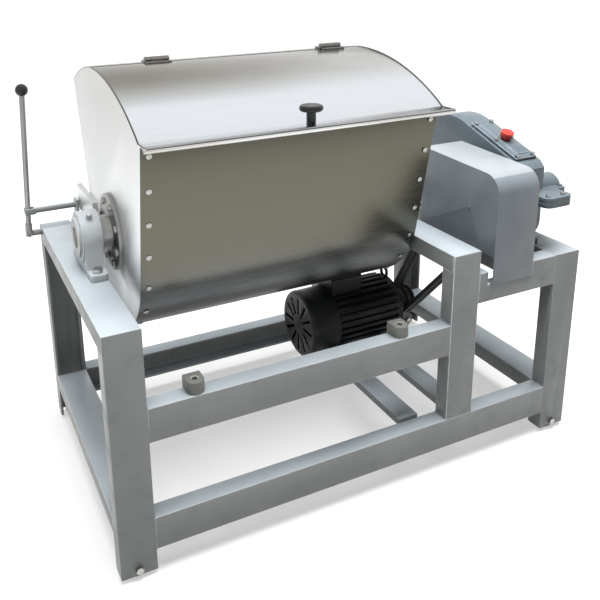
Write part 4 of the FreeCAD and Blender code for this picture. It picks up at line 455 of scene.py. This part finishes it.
# %% [markdown]
# The tank's large sheets mirror a room that is not in the picture, in bands: dark on the curve
# below the front, pale on the lid. Panels around the machine could give them, but only for one
# place of the camera, so they are painted instead, along the height of each sheet. A colour ramp
# holds them, from the lowest point up, and a slow wave keeps them from being ruler straight.

# %% Banded sheet
BAND_WAVE_SIZE = 2.2
BAND_WAVE_STRETCH = (1.0, 3.0, 3.0)
BAND_WAVE_SPAN = (0.3, 0.7)
GRIT_DEPTH = 0.035


def along(tree, axis, low, high):
    # Zero at the low end of an object axis and one at the high end
    parts = tree.nodes.new("ShaderNodeSeparateXYZ")
    feed(tree, object_place(tree), parts.inputs[0])
    return remap(tree, parts.outputs[axis], low, high)


def band_ramp(tree, bands):
    ramp = tree.nodes.new("ShaderNodeValToRGB")
    ramp.color_ramp.interpolation = "B_SPLINE"
    stops = ramp.color_ramp.elements
    while len(stops) < len(bands):
        stops.new(0.5)
    for stop, (place, colour) in zip(stops, bands):
        stop.position = place
        stop.color = opaque(colour)
    return ramp


def banded_sheet(name, low, high, bands, sway, roughness, grain=GRAIN_ALONG_TANK, tint=None):
    material, tree, marks = steel_base(name, roughness, grain)
    wave = noise(tree, object_place(tree), BAND_WAVE_SIZE, detail=3.0, stretch=BAND_WAVE_STRETCH)
    shift = remap(tree, wave, *BAND_WAVE_SPAN, -sway, sway)
    ramp = band_ramp(tree, bands)
    feed(tree, math_node(tree, "ADD", along(tree, "Z", low, high), shift), ramp.inputs[0])
    grit = remap(tree, marks.outputs["Scratch"], *SCRATCH_SPAN, 1.0 - GRIT_DEPTH, 1.0 + GRIT_DEPTH)
    give_tone(tree, mix_colour(tree, 1.0, ramp.outputs["Color"], grit, "MULTIPLY"), tint)
    return material


tank_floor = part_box("tank_shell")[0][2]
print("tank's lowest point", round(tank_floor, 4))

# %% [markdown]
# The shell goes from its bright underside through a dark curve to the olive grey front, then
# through a painted shadow under the lid's lip, and over the edge at the back to the pale rear
# cover. Each pair below is a place between the lowest point and the crest, and the tone there.

# %% Bands of the tank's shell
CREST_HEIGHT = 1.04
SHELL_BANDS = [
    (0.0, (0.42, 0.44, 0.44)),
    (0.04, (0.20, 0.21, 0.21)),
    (0.08, (0.025, 0.026, 0.025)),
    (0.14, (0.03, 0.032, 0.031)),
    (0.18, (0.20, 0.21, 0.218)),
    (0.25, (0.135, 0.133, 0.122)),
    (0.37, (0.128, 0.122, 0.096)),
    (0.66, (0.13, 0.124, 0.094)),
    (0.76, (0.115, 0.11, 0.086)),
    # A painted shadow under the lid's lip
    (0.81, (0.07, 0.066, 0.055)),
    (0.86, (0.20, 0.198, 0.185)),
    (0.92, (0.34, 0.338, 0.325)),
    (1.0, (0.46, 0.455, 0.44)),
]
shell_sheet = banded_sheet("shell_sheet", tank_floor, CREST_HEIGHT, SHELL_BANDS, sway=0.02, roughness=0.3)
print("shell bands", len(SHELL_BANDS))

# %% [markdown]
# The end plates are flat and stand upright, so they darken only towards the floor, and their
# scratches run up and down. A larger sway makes the change uneven, as it is on a hand-ground
# plate.

# %% Bands of the end plates
PLATE_TOP = 1.03
PLATE_BANDS = [
    (0.0, (0.13, 0.14, 0.14)),
    (0.1, (0.24, 0.26, 0.27)),
    (0.24, (0.50, 0.53, 0.54)),
    (0.36, (0.70, 0.71, 0.71)),
    (0.7, (0.74, 0.75, 0.75)),
    (1.0, (0.70, 0.70, 0.68)),
]
end_plate_sheet = banded_sheet("end_plate_sheet", tank_floor, PLATE_TOP, PLATE_BANDS, sway=0.07,
                               roughness=0.42, grain=GRAIN_UPRIGHT)
print("plate bands", len(PLATE_BANDS))

# %% [markdown]
# The lid looks at the sky and is the brightest sheet, with a soft dark edge along its crest. There
# it also turns brown towards the left, where it mirrors something warm. That is a change in two
# directions, which one ramp can't hold, so a tint is laid over the bands.

# %% Bands of the lid
LIP_HEIGHT = 0.925
CREST_BROWN = (0.20, 0.185, 0.15)
BROWN_FROM_X = 0.12
BROWN_FULL_X = -0.42
BROWN_FROM_Z = 0.985
BROWN_FULL_Z = 1.03
LID_BANDS = [
    (0.0, (0.42, 0.41, 0.38)),
    (0.05, (0.62, 0.61, 0.58)),
    (0.12, (0.79, 0.82, 0.86)),
    (0.55, (0.81, 0.85, 0.90)),
    (0.75, (0.62, 0.63, 0.62)),
    (0.88, (0.45, 0.44, 0.42)),
    (1.0, (0.30, 0.29, 0.26)),
]


def brown_crest(tree, tone):
    left = along(tree, "X", BROWN_FROM_X, BROWN_FULL_X)
    high = along(tree, "Z", BROWN_FROM_Z, BROWN_FULL_Z)
    return mix_colour(tree, math_node(tree, "MULTIPLY", left, high), tone, opaque(CREST_BROWN))


lid_sheet = banded_sheet("lid_sheet", LIP_HEIGHT, CREST_HEIGHT, LID_BANDS, sway=0.05, roughness=0.17,
                         tint=brown_crest)
print("lid bands", len(LID_BANDS))

# %% [markdown]
# Every solid names a slot in the record, and each slot has its finish. A few pieces look unlike
# the rest of their slot: the large sheets with their bands, the guard, the rest lugs, the small
# pulley and the hinges. They are looked up by name first.

# %% Dress the solids
own_finish = {
    "tank_shell": shell_sheet,
    "left_end_plate": end_plate_sheet,
    "right_end_plate": end_plate_sheet,
    "lid_panel": lid_sheet,
    "lid_hinge_halves": hinge_steel,
    "tank_hinge_halves": hinge_steel,
    "belt_guard": shaded_guard_paint,
    "rest_lugs": lug_casting,
    "motor_pulley": pulley_iron,
}


def finish_of(node):
    return own_finish.get(node, finishes[slot_of[node]])


def dress(obj, material):
    obj.data.materials.clear()
    obj.data.materials.append(material)


for name, obj in nodes.items():
    dress(obj, finish_of(name))
print("dressed", len(nodes), "with a finish of their own", len(own_finish))

# %% [markdown]
# The solids arrive as loose triangles with knife-sharp edges. Real castings, rolled steel and
# bent sheet have small rounds that catch the light, and the eye reads them as metal. So each
# main piece is copied, its doubled points are merged, its flat faces are joined again, and a
# narrow bevel runs along the corners. Smooth shading then only breaks at the sharp ones.

# %% Clean copy of a solid
MERGE = 0.00002
FLAT_ANGLE = math.radians(0.6)
CORNER_ANGLE = math.radians(32.0)


def merged_copy(node):
    mesh = nodes[node].data.copy()
    work = bmesh.new()
    work.from_mesh(mesh)
    bmesh.ops.remove_doubles(work, verts=work.verts, dist=MERGE)
    bmesh.ops.dissolve_limit(work, angle_limit=FLAT_ANGLE, verts=work.verts, edges=work.edges)
    work.to_mesh(mesh)
    work.free()
    mesh.validate()
    return mesh


def evaluated_mesh(obj):
    view = bpy.context.evaluated_depsgraph_get()
    return bpy.data.meshes.new_from_object(obj.evaluated_get(view), depsgraph=view)


def bake_modifiers(obj):
    mesh = evaluated_mesh(obj)
    obj.modifiers.clear()
    obj.data = mesh


def smooth_to_corners(mesh):
    for face in mesh.polygons:
        face.use_smooth = True
    mesh.set_sharp_from_angle(angle=CORNER_ANGLE)


print("corners are edges sharper than", round(math.degrees(CORNER_ANGLE)), "degrees")

# %% [markdown]
# The bevel modifier can give the faces that it makes another material place. That is how they are
# told from the old ones afterwards, when every face goes back to the one finish of the piece, and
# the rim and top marks that the paint reads are written on the corners of the faces.

# %% Rounding a copy
ROUND_SEGMENTS = 2
RIM_PLACE = 1
UPWARD = 0.85


def mark_faces(mesh):
    rim = mesh.attributes.new("rim", "FLOAT", "CORNER")
    top = mesh.attributes.new("top", "FLOAT", "CORNER")
    for face in mesh.polygons:
        for corner in face.loop_indices:
            rim.data[corner].value = float(face.material_index == RIM_PLACE)
            # Faces that look up carry the mark for the painted sheen of the sky
            top.data[corner].value = float(face.normal.z > UPWARD)
        face.material_index = 0


def rounded(node, width):
    obj = new_object(node + "_rounded", merged_copy(node))
    dress(obj, finish_of(node))
    obj.data.materials.append(finish_of(node))
    bevel = obj.modifiers.new("rounds", "BEVEL")
    bevel.width = width
    bevel.segments = ROUND_SEGMENTS
    bevel.limit_method = "ANGLE"
    bevel.angle_limit = CORNER_ANGLE
    bevel.use_clamp_overlap = True
    bevel.material = RIM_PLACE
    bake_modifiers(obj)
    mark_faces(obj.data)
    smooth_to_corners(obj.data)
    dress(obj, finish_of(node))
    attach(obj, body_of_node[node])
    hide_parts(node)
    return obj


print("a face looks up when its normal's height is over", UPWARD)

# %% [markdown]
# How wide a round is depends on how the piece was made. Hot-rolled channel has the largest, then
# sand castings, then turned and folded parts, and thin sheet has hardly any. The pieces are listed
# by that width.

# %% Rounded copies of the solids
CHANNEL_ROUND = 0.0016
CASTING_ROUND = 0.0012
SMALL_ROUND = 0.0005
SHEET_ROUND = 0.0003
POSTS = [f"{side}_{place}_post" for place in ("left", "centre", "right") for side in ("front", "rear")]
TOP_BEAMS = ["left_top_beam", "centre_top_beam", "right_top_beam"]
LONG_BOTTOM_RAILS = ["front_bottom_rail", "rear_bottom_rail"]
LONG_UPPER_RAILS = ["front_middle_rail", "front_upper_beam", "rear_upper_beam", "gearbox_support_bar"]
WHEELS = [f"wheel_{side}_{hand}" for side in ("front", "rear") for hand in ("left", "right")]
ROUNDS = {
    CHANNEL_ROUND: (POSTS + TOP_BEAMS + LONG_BOTTOM_RAILS + ["side_bottom_rails"] + LONG_UPPER_RAILS
                    + ["motor_bars", "rest_lugs"]),
    CASTING_ROUND: ["left_bearing_block", "right_bearing_block", "gearbox_lower_case",
                    "gearbox_upper_case", "inspection_cover", "motor_housing", "terminal_box"],
    SMALL_ROUND: ["belt_guard", "bearing_caps", "lock_guide", "lever_stub", "lock_bar", "lever_rod",
                  "trunnions", "shaft_coupling", "mounting_bolts", "gearbox_bolts", "axle_bolts",
                  "breather_cap", "lid_knob", "lever_ball", "motor_fan_cover", "lid_hinge_halves",
                  "tank_hinge_halves", *WHEELS, "left_end_plate", "right_end_plate",
                  "gearbox_pulley", "motor_pulley"],
    SHEET_ROUND: ["tank_shell", "lid_panel"],
}
for width, names in ROUNDS.items():
    faces = [len(rounded(name, width).data.polygons) for name in names]
    print("round", width, "pieces", len(faces), "faces", sum(faces))

# %% [markdown]
# What repeats is grown by Geometry Nodes. A guide mesh says where: one point for each bolt, or
# one edge for each weld. The tree puts a small body on every point. The result is baked to a plain
# mesh, because the instances themselves would be lost if the model were exported.

# %% Start and end of a geometry tree
MATERIAL_INPUT = "Material"


def new_tree(name, sizes):
    tree = bpy.data.node_groups.new(name, "GeometryNodeTree")
    tree.interface.new_socket("Geometry", in_out="INPUT", socket_type="NodeSocketGeometry")
    for label, value in sizes.items():
        socket = tree.interface.new_socket(label, in_out="INPUT", socket_type="NodeSocketFloat")
        socket.default_value = value
    tree.interface.new_socket(MATERIAL_INPUT, in_out="INPUT", socket_type="NodeSocketMaterial")
    tree.interface.new_socket("Geometry", in_out="OUTPUT", socket_type="NodeSocketGeometry")
    return tree, tree.nodes.new("NodeGroupInput"), tree.nodes.new("NodeGroupOutput")


def squashed(tree, geometry, scale):
    node = add(tree, "GeometryNodeTransform", Scale=scale)
    feed(tree, geometry, node.inputs["Geometry"])
    return node.outputs[0]


def close_tree(tree, begin, finish, geometry):
    realize = tree.nodes.new("GeometryNodeRealizeInstances")
    paint = tree.nodes.new("GeometryNodeSetMaterial")
    feed(tree, geometry, realize.inputs[0])
    feed(tree, realize.outputs[0], paint.inputs["Geometry"])
    feed(tree, begin.outputs[MATERIAL_INPUT], paint.inputs["Material"])
    feed(tree, paint.outputs[0], finish.inputs["Geometry"])


print("helpers", new_tree.__name__, squashed.__name__, close_tree.__name__)

# %% [markdown]
# A modifier knows its inputs by the socket's identifier and not by its name, so the material is
# set by looking the identifier up, before the object is first worked out. Then the result is
# baked, smoothed and tied to the body that it moves with.

# %% Growing a piece from a guide


def set_material_input(modifier, material):
    for item in modifier.node_group.interface.items_tree:
        if item.name == MATERIAL_INPUT:
            modifier[item.identifier] = material


def grow(name, guide, tree, body, slot_name, material):
    obj = new_object(name, guide)
    modifier = obj.modifiers.new(name, "NODES")
    modifier.node_group = tree
    set_material_input(modifier, material)
    bake_modifiers(obj)
    smooth_to_corners(obj.data)
    dress(obj, material)
    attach(obj, body)
    print(name, "faces", len(obj.data.polygons))
    return obj


print("helpers", set_material_input.__name__, grow.__name__)

# %% [markdown]
# The tank's sheets are held by domed bolts, each a thin washer with a flattened ball on it. They
# could be modelled once and placed by hand, but the solids already hold a plain disc at every
# bolt. So the tree needs only a point and a direction for each, which it reads from the guide's
# own attribute.

# %% Domed bolt tree
BOLT_SIZES = {"Washer radius": 0.0058, "Washer thickness": 0.001, "Dome radius": 0.0043}
DOME_SQUASH = (1.0, 1.0, 0.55)


def make_bolt_tree():
    tree, begin, finish = new_tree("domed_bolt", BOLT_SIZES)
    washer = add(tree, "GeometryNodeMeshCylinder", Vertices=24)
    feed(tree, begin.outputs["Washer radius"], washer.inputs["Radius"])
    feed(tree, begin.outputs["Washer thickness"], washer.inputs["Depth"])
    ball = add(tree, "GeometryNodeMeshUVSphere", Segments=20, Rings=10)
    feed(tree, begin.outputs["Dome radius"], ball.inputs["Radius"])
    bolt = tree.nodes.new("GeometryNodeJoinGeometry")
    feed(tree, washer.outputs["Mesh"], bolt.inputs[0])
    feed(tree, squashed(tree, ball.outputs["Mesh"], DOME_SQUASH), bolt.inputs[0])
    facing = add(tree, "GeometryNodeInputNamedAttribute", data_type="FLOAT_VECTOR", Name="facing")
    turn = add(tree, "FunctionNodeAlignRotationToVector", axis="Z")
    feed(tree, facing.outputs[0], turn.inputs["Vector"])
    place = tree.nodes.new("GeometryNodeInstanceOnPoints")
    feed(tree, begin.outputs["Geometry"], place.inputs["Points"])
    feed(tree, bolt.outputs[0], place.inputs["Instance"])
    feed(tree, turn.outputs[0], place.inputs["Rotation"])
    close_tree(tree, begin, finish, place.outputs[0])
    return tree


bolt_tree = make_bolt_tree()
print("tree", bolt_tree.name, "nodes", len(bolt_tree.nodes))

# %% [markdown]
# All the discs are one solid, and each is an island of joined points in its mesh. Starting at any
# point and going on along the edges finds one island after another. The middle of an island is
# where its bolt goes, and its widest face says along which line the bolt looks.

# %% Places of the tank's bolts


def island_from(start, left):
    # Every point that can be reached from the start along edges, taken out of what is left
    queue = [start]
    group = []
    while queue:
        vert = queue.pop()
        group.append(vert)
        near = [edge.other_vert(vert) for edge in vert.link_edges]
        fresh = [other for other in near if other in left]
        left.difference_update(fresh)
        queue.extend(fresh)
    return group


def middle_and_facing(group):
    faces = {face for vert in group for face in vert.link_faces}
    widest = max(faces, key=lambda face: face.calc_area())
    middle = sum((vert.co for vert in group), Vector()) / len(group)
    return middle, widest.normal.copy()


def islands(node):
    work = bmesh.new()
    work.from_mesh(nodes[node].data)
    bmesh.ops.remove_doubles(work, verts=work.verts, dist=MERGE)
    left = set(work.verts)
    found = []
    while left:
        found.append(middle_and_facing(island_from(left.pop(), left)))
    work.free()
    return found


discs = islands("shell_bolts")
print("bolts found", len(discs))

# %% [markdown]
# A flat disc has a front and a back, and its widest face may be either. So each direction is
# turned away from the mixing shaft, whose place the tank's own joint gives. The guide is a mesh of
# loose points, with the direction kept on each as an attribute for the tree to read.

# %% Domed bolts of the tank's sheets


def point_guide(name, spots):
    mesh = bpy.data.meshes.new(name)
    mesh.from_pydata([middle for middle, _ in spots], [], [])
    facing = mesh.attributes.new("facing", "FLOAT_VECTOR", "POINT")
    for index, (_, normal) in enumerate(spots):
        facing.data[index].vector = normal
    return mesh


tank_tilt = next(joint for joint in frame["joints"] if joint["name"] == "tank_tilt")
shaft_axis = Vector(tank_tilt["pos_m"])
spots = []
for middle, normal in discs:
    outward = middle - shaft_axis
    outward.x = 0.0
    spots.append((middle, -normal if normal.dot(outward) < 0 else normal))
bolts = grow("shell_bolt_heads", point_guide("bolt_spots", spots), bolt_tree, "tank",
             slot_of["shell_bolts"], finishes["bright_fasteners"])
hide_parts("shell_bolts")
print("shaft axis", shaft_axis)

# %% [markdown]
# The frame is welded, and each inner corner between two channels holds a short run of bead. A
# swept tube would look extruded. Each bead is a flattened ball of its own random size instead, a
# fixed step from the last, so the run looks laid by hand.

# %% Weld bead tree
BEAD_SIZES = {"Bead radius": 0.0027, "Step": 0.0032}
BEAD_SQUASH = (0.8, 1.0, 1.0)
SMALLEST_BEAD = 0.78
LARGEST_BEAD = 1.18
BEAD_SEED = 11


def make_weld_tree():
    tree, begin, finish = new_tree("weld_bead", BEAD_SIZES)
    curve = tree.nodes.new("GeometryNodeMeshToCurve")
    feed(tree, begin.outputs["Geometry"], curve.inputs[0])
    spaced = add(tree, "GeometryNodeResampleCurve", mode="LENGTH")
    feed(tree, curve.outputs[0], spaced.inputs["Curve"])
    feed(tree, begin.outputs["Step"], spaced.inputs["Length"])
    drop = add(tree, "GeometryNodeMeshIcoSphere", Subdivisions=2)
    feed(tree, begin.outputs["Bead radius"], drop.inputs["Radius"])
    size = add(tree, "FunctionNodeRandomValue", data_type="FLOAT", Seed=BEAD_SEED)
    size.inputs["Min"].default_value = SMALLEST_BEAD
    size.inputs["Max"].default_value = LARGEST_BEAD
    tangent = tree.nodes.new("GeometryNodeInputTangent")
    along_run = add(tree, "FunctionNodeAlignRotationToVector", axis="X")
    feed(tree, tangent.outputs[0], along_run.inputs["Vector"])
    place = tree.nodes.new("GeometryNodeInstanceOnPoints")
    feed(tree, spaced.outputs[0], place.inputs["Points"])
    feed(tree, squashed(tree, drop.outputs["Mesh"], BEAD_SQUASH), place.inputs["Instance"])
    feed(tree, along_run.outputs[0], place.inputs["Rotation"])
    feed(tree, size.outputs[1], place.inputs["Scale"])
    close_tree(tree, begin, finish, place.outputs[0])
    return tree


weld_tree = make_weld_tree()
print("tree", weld_tree.name, "nodes", len(weld_tree.nodes))

# %% [markdown]
# The runs come from the solids' own boxes, so they follow the frame when its size changes. Where
# two boxes touch, an edge of the touching face is an inner corner if one of the two goes on past
# it. Each run stops a little short of the corner's ends.

# %% Weld beads of the frame
RAILS = TOP_BEAMS + LONG_BOTTOM_RAILS + LONG_UPPER_RAILS
TOUCH = 0.0008
PAST = 0.003


def contact_edges(one, two):
    low_1, high_1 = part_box(one)
    low_2, high_2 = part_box(two)
    low = [max(a, b) for a, b in zip(low_1, low_2)]
    high = [min(a, b) for a, b in zip(high_1, high_2)]
    shared = [top - bottom for bottom, top in zip(low, high)]
    flat = [axis for axis in range(3) if abs(shared[axis]) < TOUCH]
    if len(flat) != 1 or min(shared) < -TOUCH:
        return []
    normal = flat[0]
    first, second = [axis for axis in range(3) if axis != normal]
    if min(shared[first], shared[second]) < 2 * PAST:
        return []
    edges = []
    for across, run in ((first, second), (second, first)):
        past_low = low[across] - min(low_1[across], low_2[across])
        past_high = max(high_1[across], high_2[across]) - high[across]
        for limit, past in ((low[across], past_low), (high[across], past_high)):
            if past >= PAST:
                ends = [{normal: low[normal], across: limit, run: spot}
                        for spot in (low[run] + PAST, high[run] - PAST)]
                edges.append([[end[axis] for axis in range(3)] for end in ends])
    return edges


weld_points, weld_edges = [], []
for index, rail in enumerate(RAILS):
    for other in POSTS + RAILS[index + 1:]:
        for ends in contact_edges(rail, other):
            weld_edges.append((len(weld_points), len(weld_points) + 1))
            weld_points.extend(ends)
weld_guide = bpy.data.meshes.new("weld_runs")
weld_guide.from_pydata(weld_points, weld_edges, [])
grow("frame_welds", weld_guide, weld_tree, "frame", "frame_paint", finishes["frame_paint"])
print("weld runs", len(weld_edges))

# %% [markdown]
# The lid's sheet is rolled over a wire along its front lip and along both arched ends, so its
# rim shows as a thin tube. The path of each arch could be drawn again, but it is read from the
# sheet's own end face instead, from its highest points, so the tube stays inside the sheet's reach.

# %% Paths of the lid's hems
HEM_RADIUS = 0.0022
LIP_RADIUS = 0.0032
CREST_RADIUS = 0.0012
ARCH_STEP = 0.001
SHEET_REACH = 0.003


def arch_path(x_edge, inward):
    mesh = nodes["lid_panel"].data
    rim = [vert.co for vert in mesh.vertices if abs(vert.co.x - x_edge) < MERGE]
    rows = {}
    for point in rim:
        # The sheet has an inner and an outer skin, and a point just under another is on the inner
        covered = any(other.z > point.z + MERGE and (other - point).length < SHEET_REACH for other in rim)
        if not covered:
            rows[round(point.y / ARCH_STEP)] = point
    path = [rows[row] for row in sorted(rows)]
    return [Vector((x_edge + inward * HEM_RADIUS, point.y, point.z - HEM_RADIUS / 2)) for point in path]


lid_low, lid_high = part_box("lid_panel")
left_arch = arch_path(lid_low[0], 1.0)
right_arch = arch_path(lid_high[0], -1.0)


def straight_path(inset, y, z):
    return [Vector((x, y, z)) for x in (lid_low[0] + inset, lid_high[0] - inset)]


lip_z = left_arch[0].z
lip = straight_path(LIP_RADIUS, lid_low[1] + LIP_RADIUS, lip_z)
crest_z = left_arch[-1].z + HEM_RADIUS / 2 - CREST_RADIUS / 2
crest = straight_path(HEM_RADIUS, lid_high[1] - CREST_RADIUS, crest_z)
print("points of the arches", len(left_arch), len(right_arch))

# %% [markdown]
# A curve with a round bevel makes the tube, and it is turned into a plain mesh at once. The lip's
# tube is bright on top and dark below, where it is in its own shadow, and the arches and the crest
# are darker.

# %% Rolled hems of the lid
HEM_BEVEL_STEPS = 4
LIP_SHADOW = (0.03, 0.029, 0.026)


def tube(name, paths, radius):
    curve = bpy.data.curves.new(name, "CURVE")
    curve.dimensions = "3D"
    curve.bevel_depth = radius
    curve.bevel_resolution = HEM_BEVEL_STEPS
    curve.use_fill_caps = True
    for path in paths:
        spline = curve.splines.new("POLY")
        spline.points.add(len(path) - 1)
        for point, place in zip(spline.points, path):
            point.co = (*place, 1.0)
    holder = new_object(name + "_curve", curve)
    mesh = evaluated_mesh(holder)
    bpy.data.objects.remove(holder)
    return new_object(name, mesh)


def dark_underside(tree, tone):
    lit = along(tree, "Z", lip_z - LIP_RADIUS / 4, lip_z + LIP_RADIUS / 2)
    return mix_colour(tree, lit, opaque(LIP_SHADOW), tone)


lip_steel = brushed_metal("hem_steel", (0.50, 0.50, 0.49), (0.36, 0.36, 0.35), 0.25, tint=dark_underside)
arch_steel = brushed_metal("arch_steel", (0.16, 0.155, 0.14), (0.09, 0.088, 0.08), 0.3)
for name, paths, radius, steel in (("lid_arch_hems", [left_arch, right_arch], HEM_RADIUS, arch_steel),
                                   ("lid_crest_hem", [crest], CREST_RADIUS, arch_steel),
                                   ("lid_lip_hem", [lip], LIP_RADIUS, lip_steel)):
    hem = tube(name, paths, radius)
    smooth_to_corners(hem.data)
    dress(hem, steel)
    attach(hem, "lid")
    print(name, "faces", len(hem.data.polygons))

# %% [markdown]
# The studio is a wide pale floor that reaches out of the picture. Lamps strong enough to make it
# white would burn out the steel. So the floor and the world glow only for rays that show the
# picture or a mirror of it, and for rays that carry light they stay dim. The floor's glow is
# weaker near the machine, which keeps the soft shadow under it.

# %% Floor and surround
FLOOR_REACH = 40.0
FLOOR_GREY = (0.38, 0.38, 0.38)
FLOOR_ROUGHNESS = 0.9
FLOOR_SPECULAR = 0.1
NEAR_GLOW = 0.5
FAR_GLOW = 0.96
GLOW_REACH = (1.1, 3.2)
WORLD_FILL = 0.09
WORLD_WHITE = 1.0


def seen_directly(tree):
    # One for rays that show the picture or a mirror of it, zero for rays that carry light
    path = tree.nodes.new("ShaderNodeLightPath")
    both = math_node(tree, "MAXIMUM", path.outputs["Is Camera Ray"], path.outputs["Is Glossy Ray"])
    return math_node(tree, "MAXIMUM", both, path.outputs["Is Transmission Ray"])


def floor_paint():
    material, tree, shader = finish_base("floor_white", 0.0, FLOOR_ROUGHNESS, FLOOR_SPECULAR)
    shader.inputs["Base Color"].default_value = opaque(FLOOR_GREY)
    distance = add(tree, "ShaderNodeVectorMath", operation="LENGTH")
    feed(tree, object_place(tree), distance.inputs[0])
    level = remap(tree, distance.outputs["Value"], *GLOW_REACH, NEAR_GLOW, FAR_GLOW)
    glow = tree.nodes.new("ShaderNodeEmission")
    feed(tree, math_node(tree, "MULTIPLY", seen_directly(tree), level), glow.inputs["Strength"])
    both = tree.nodes.new("ShaderNodeAddShader")
    feed(tree, shader.outputs[0], both.inputs[0])
    feed(tree, glow.outputs[0], both.inputs[1])
    feed(tree, both.outputs[0], tree.nodes["Material Output"].inputs["Surface"])
    return material


def make_floor():
    mesh = bpy.data.meshes.new("studio_floor")
    corners = [(x * FLOOR_REACH, y * FLOOR_REACH, 0.0) for x, y in ((-1, -1), (1, -1), (1, 1), (-1, 1))]
    mesh.from_pydata(corners, [], [(0, 1, 2, 3)])
    floor = new_object("studio_floor", mesh)
    dress(floor, floor_paint())


def make_world():
    world = bpy.data.worlds.new("studio")
    bpy.context.scene.world = world
    world.use_nodes = True
    tree = world.node_tree
    tree.nodes.clear()
    mixer = tree.nodes.new("ShaderNodeMixShader")
    feed(tree, seen_directly(tree), mixer.inputs[0])
    for strength, socket in ((WORLD_FILL, mixer.inputs[1]), (WORLD_WHITE, mixer.inputs[2])):
        sky = add(tree, "ShaderNodeBackground", Color=opaque((1.0, 1.0, 1.0)), Strength=strength)
        feed(tree, sky.outputs[0], socket)
    out = tree.nodes.new("ShaderNodeOutputWorld")
    feed(tree, mixer.outputs[0], out.inputs[0])


make_floor()
make_world()
print("floor reaches", FLOOR_REACH, "world fill", WORLD_FILL)

# %% [markdown]
# Two large soft lamps light the paint, a strong one above and a weak one at the left. They are
# kept out of the mirrors, so bare steel shows its own painted tones and never burns out.

# %% Lamps


def make_lamp(name, place, aim, size, power):
    data = bpy.data.lights.new(name, "AREA")
    data.shape = "RECTANGLE"
    data.size, data.size_y = size
    data.energy = power
    lamp = new_object(name, data)
    lamp.location = place
    lamp.rotation_euler = (Vector(aim) - Vector(place)).to_track_quat("-Z", "Y").to_euler()
    lamp.visible_glossy = False
    print("lamp", name, "watts", power)


make_lamp("top_soft", place=(0.15, -0.3, 3.5), aim=(0.1, 0.0, 0.4), size=(2.8, 2.2), power=410.0)
make_lamp("left_soft", place=(-3.0, -0.1, 2.0), aim=(0.0, 0.0, 0.6), size=(2.6, 2.6), power=62.0)

# %% [markdown]
# The last cell only imports the json module once more.

# %% Import json
import json
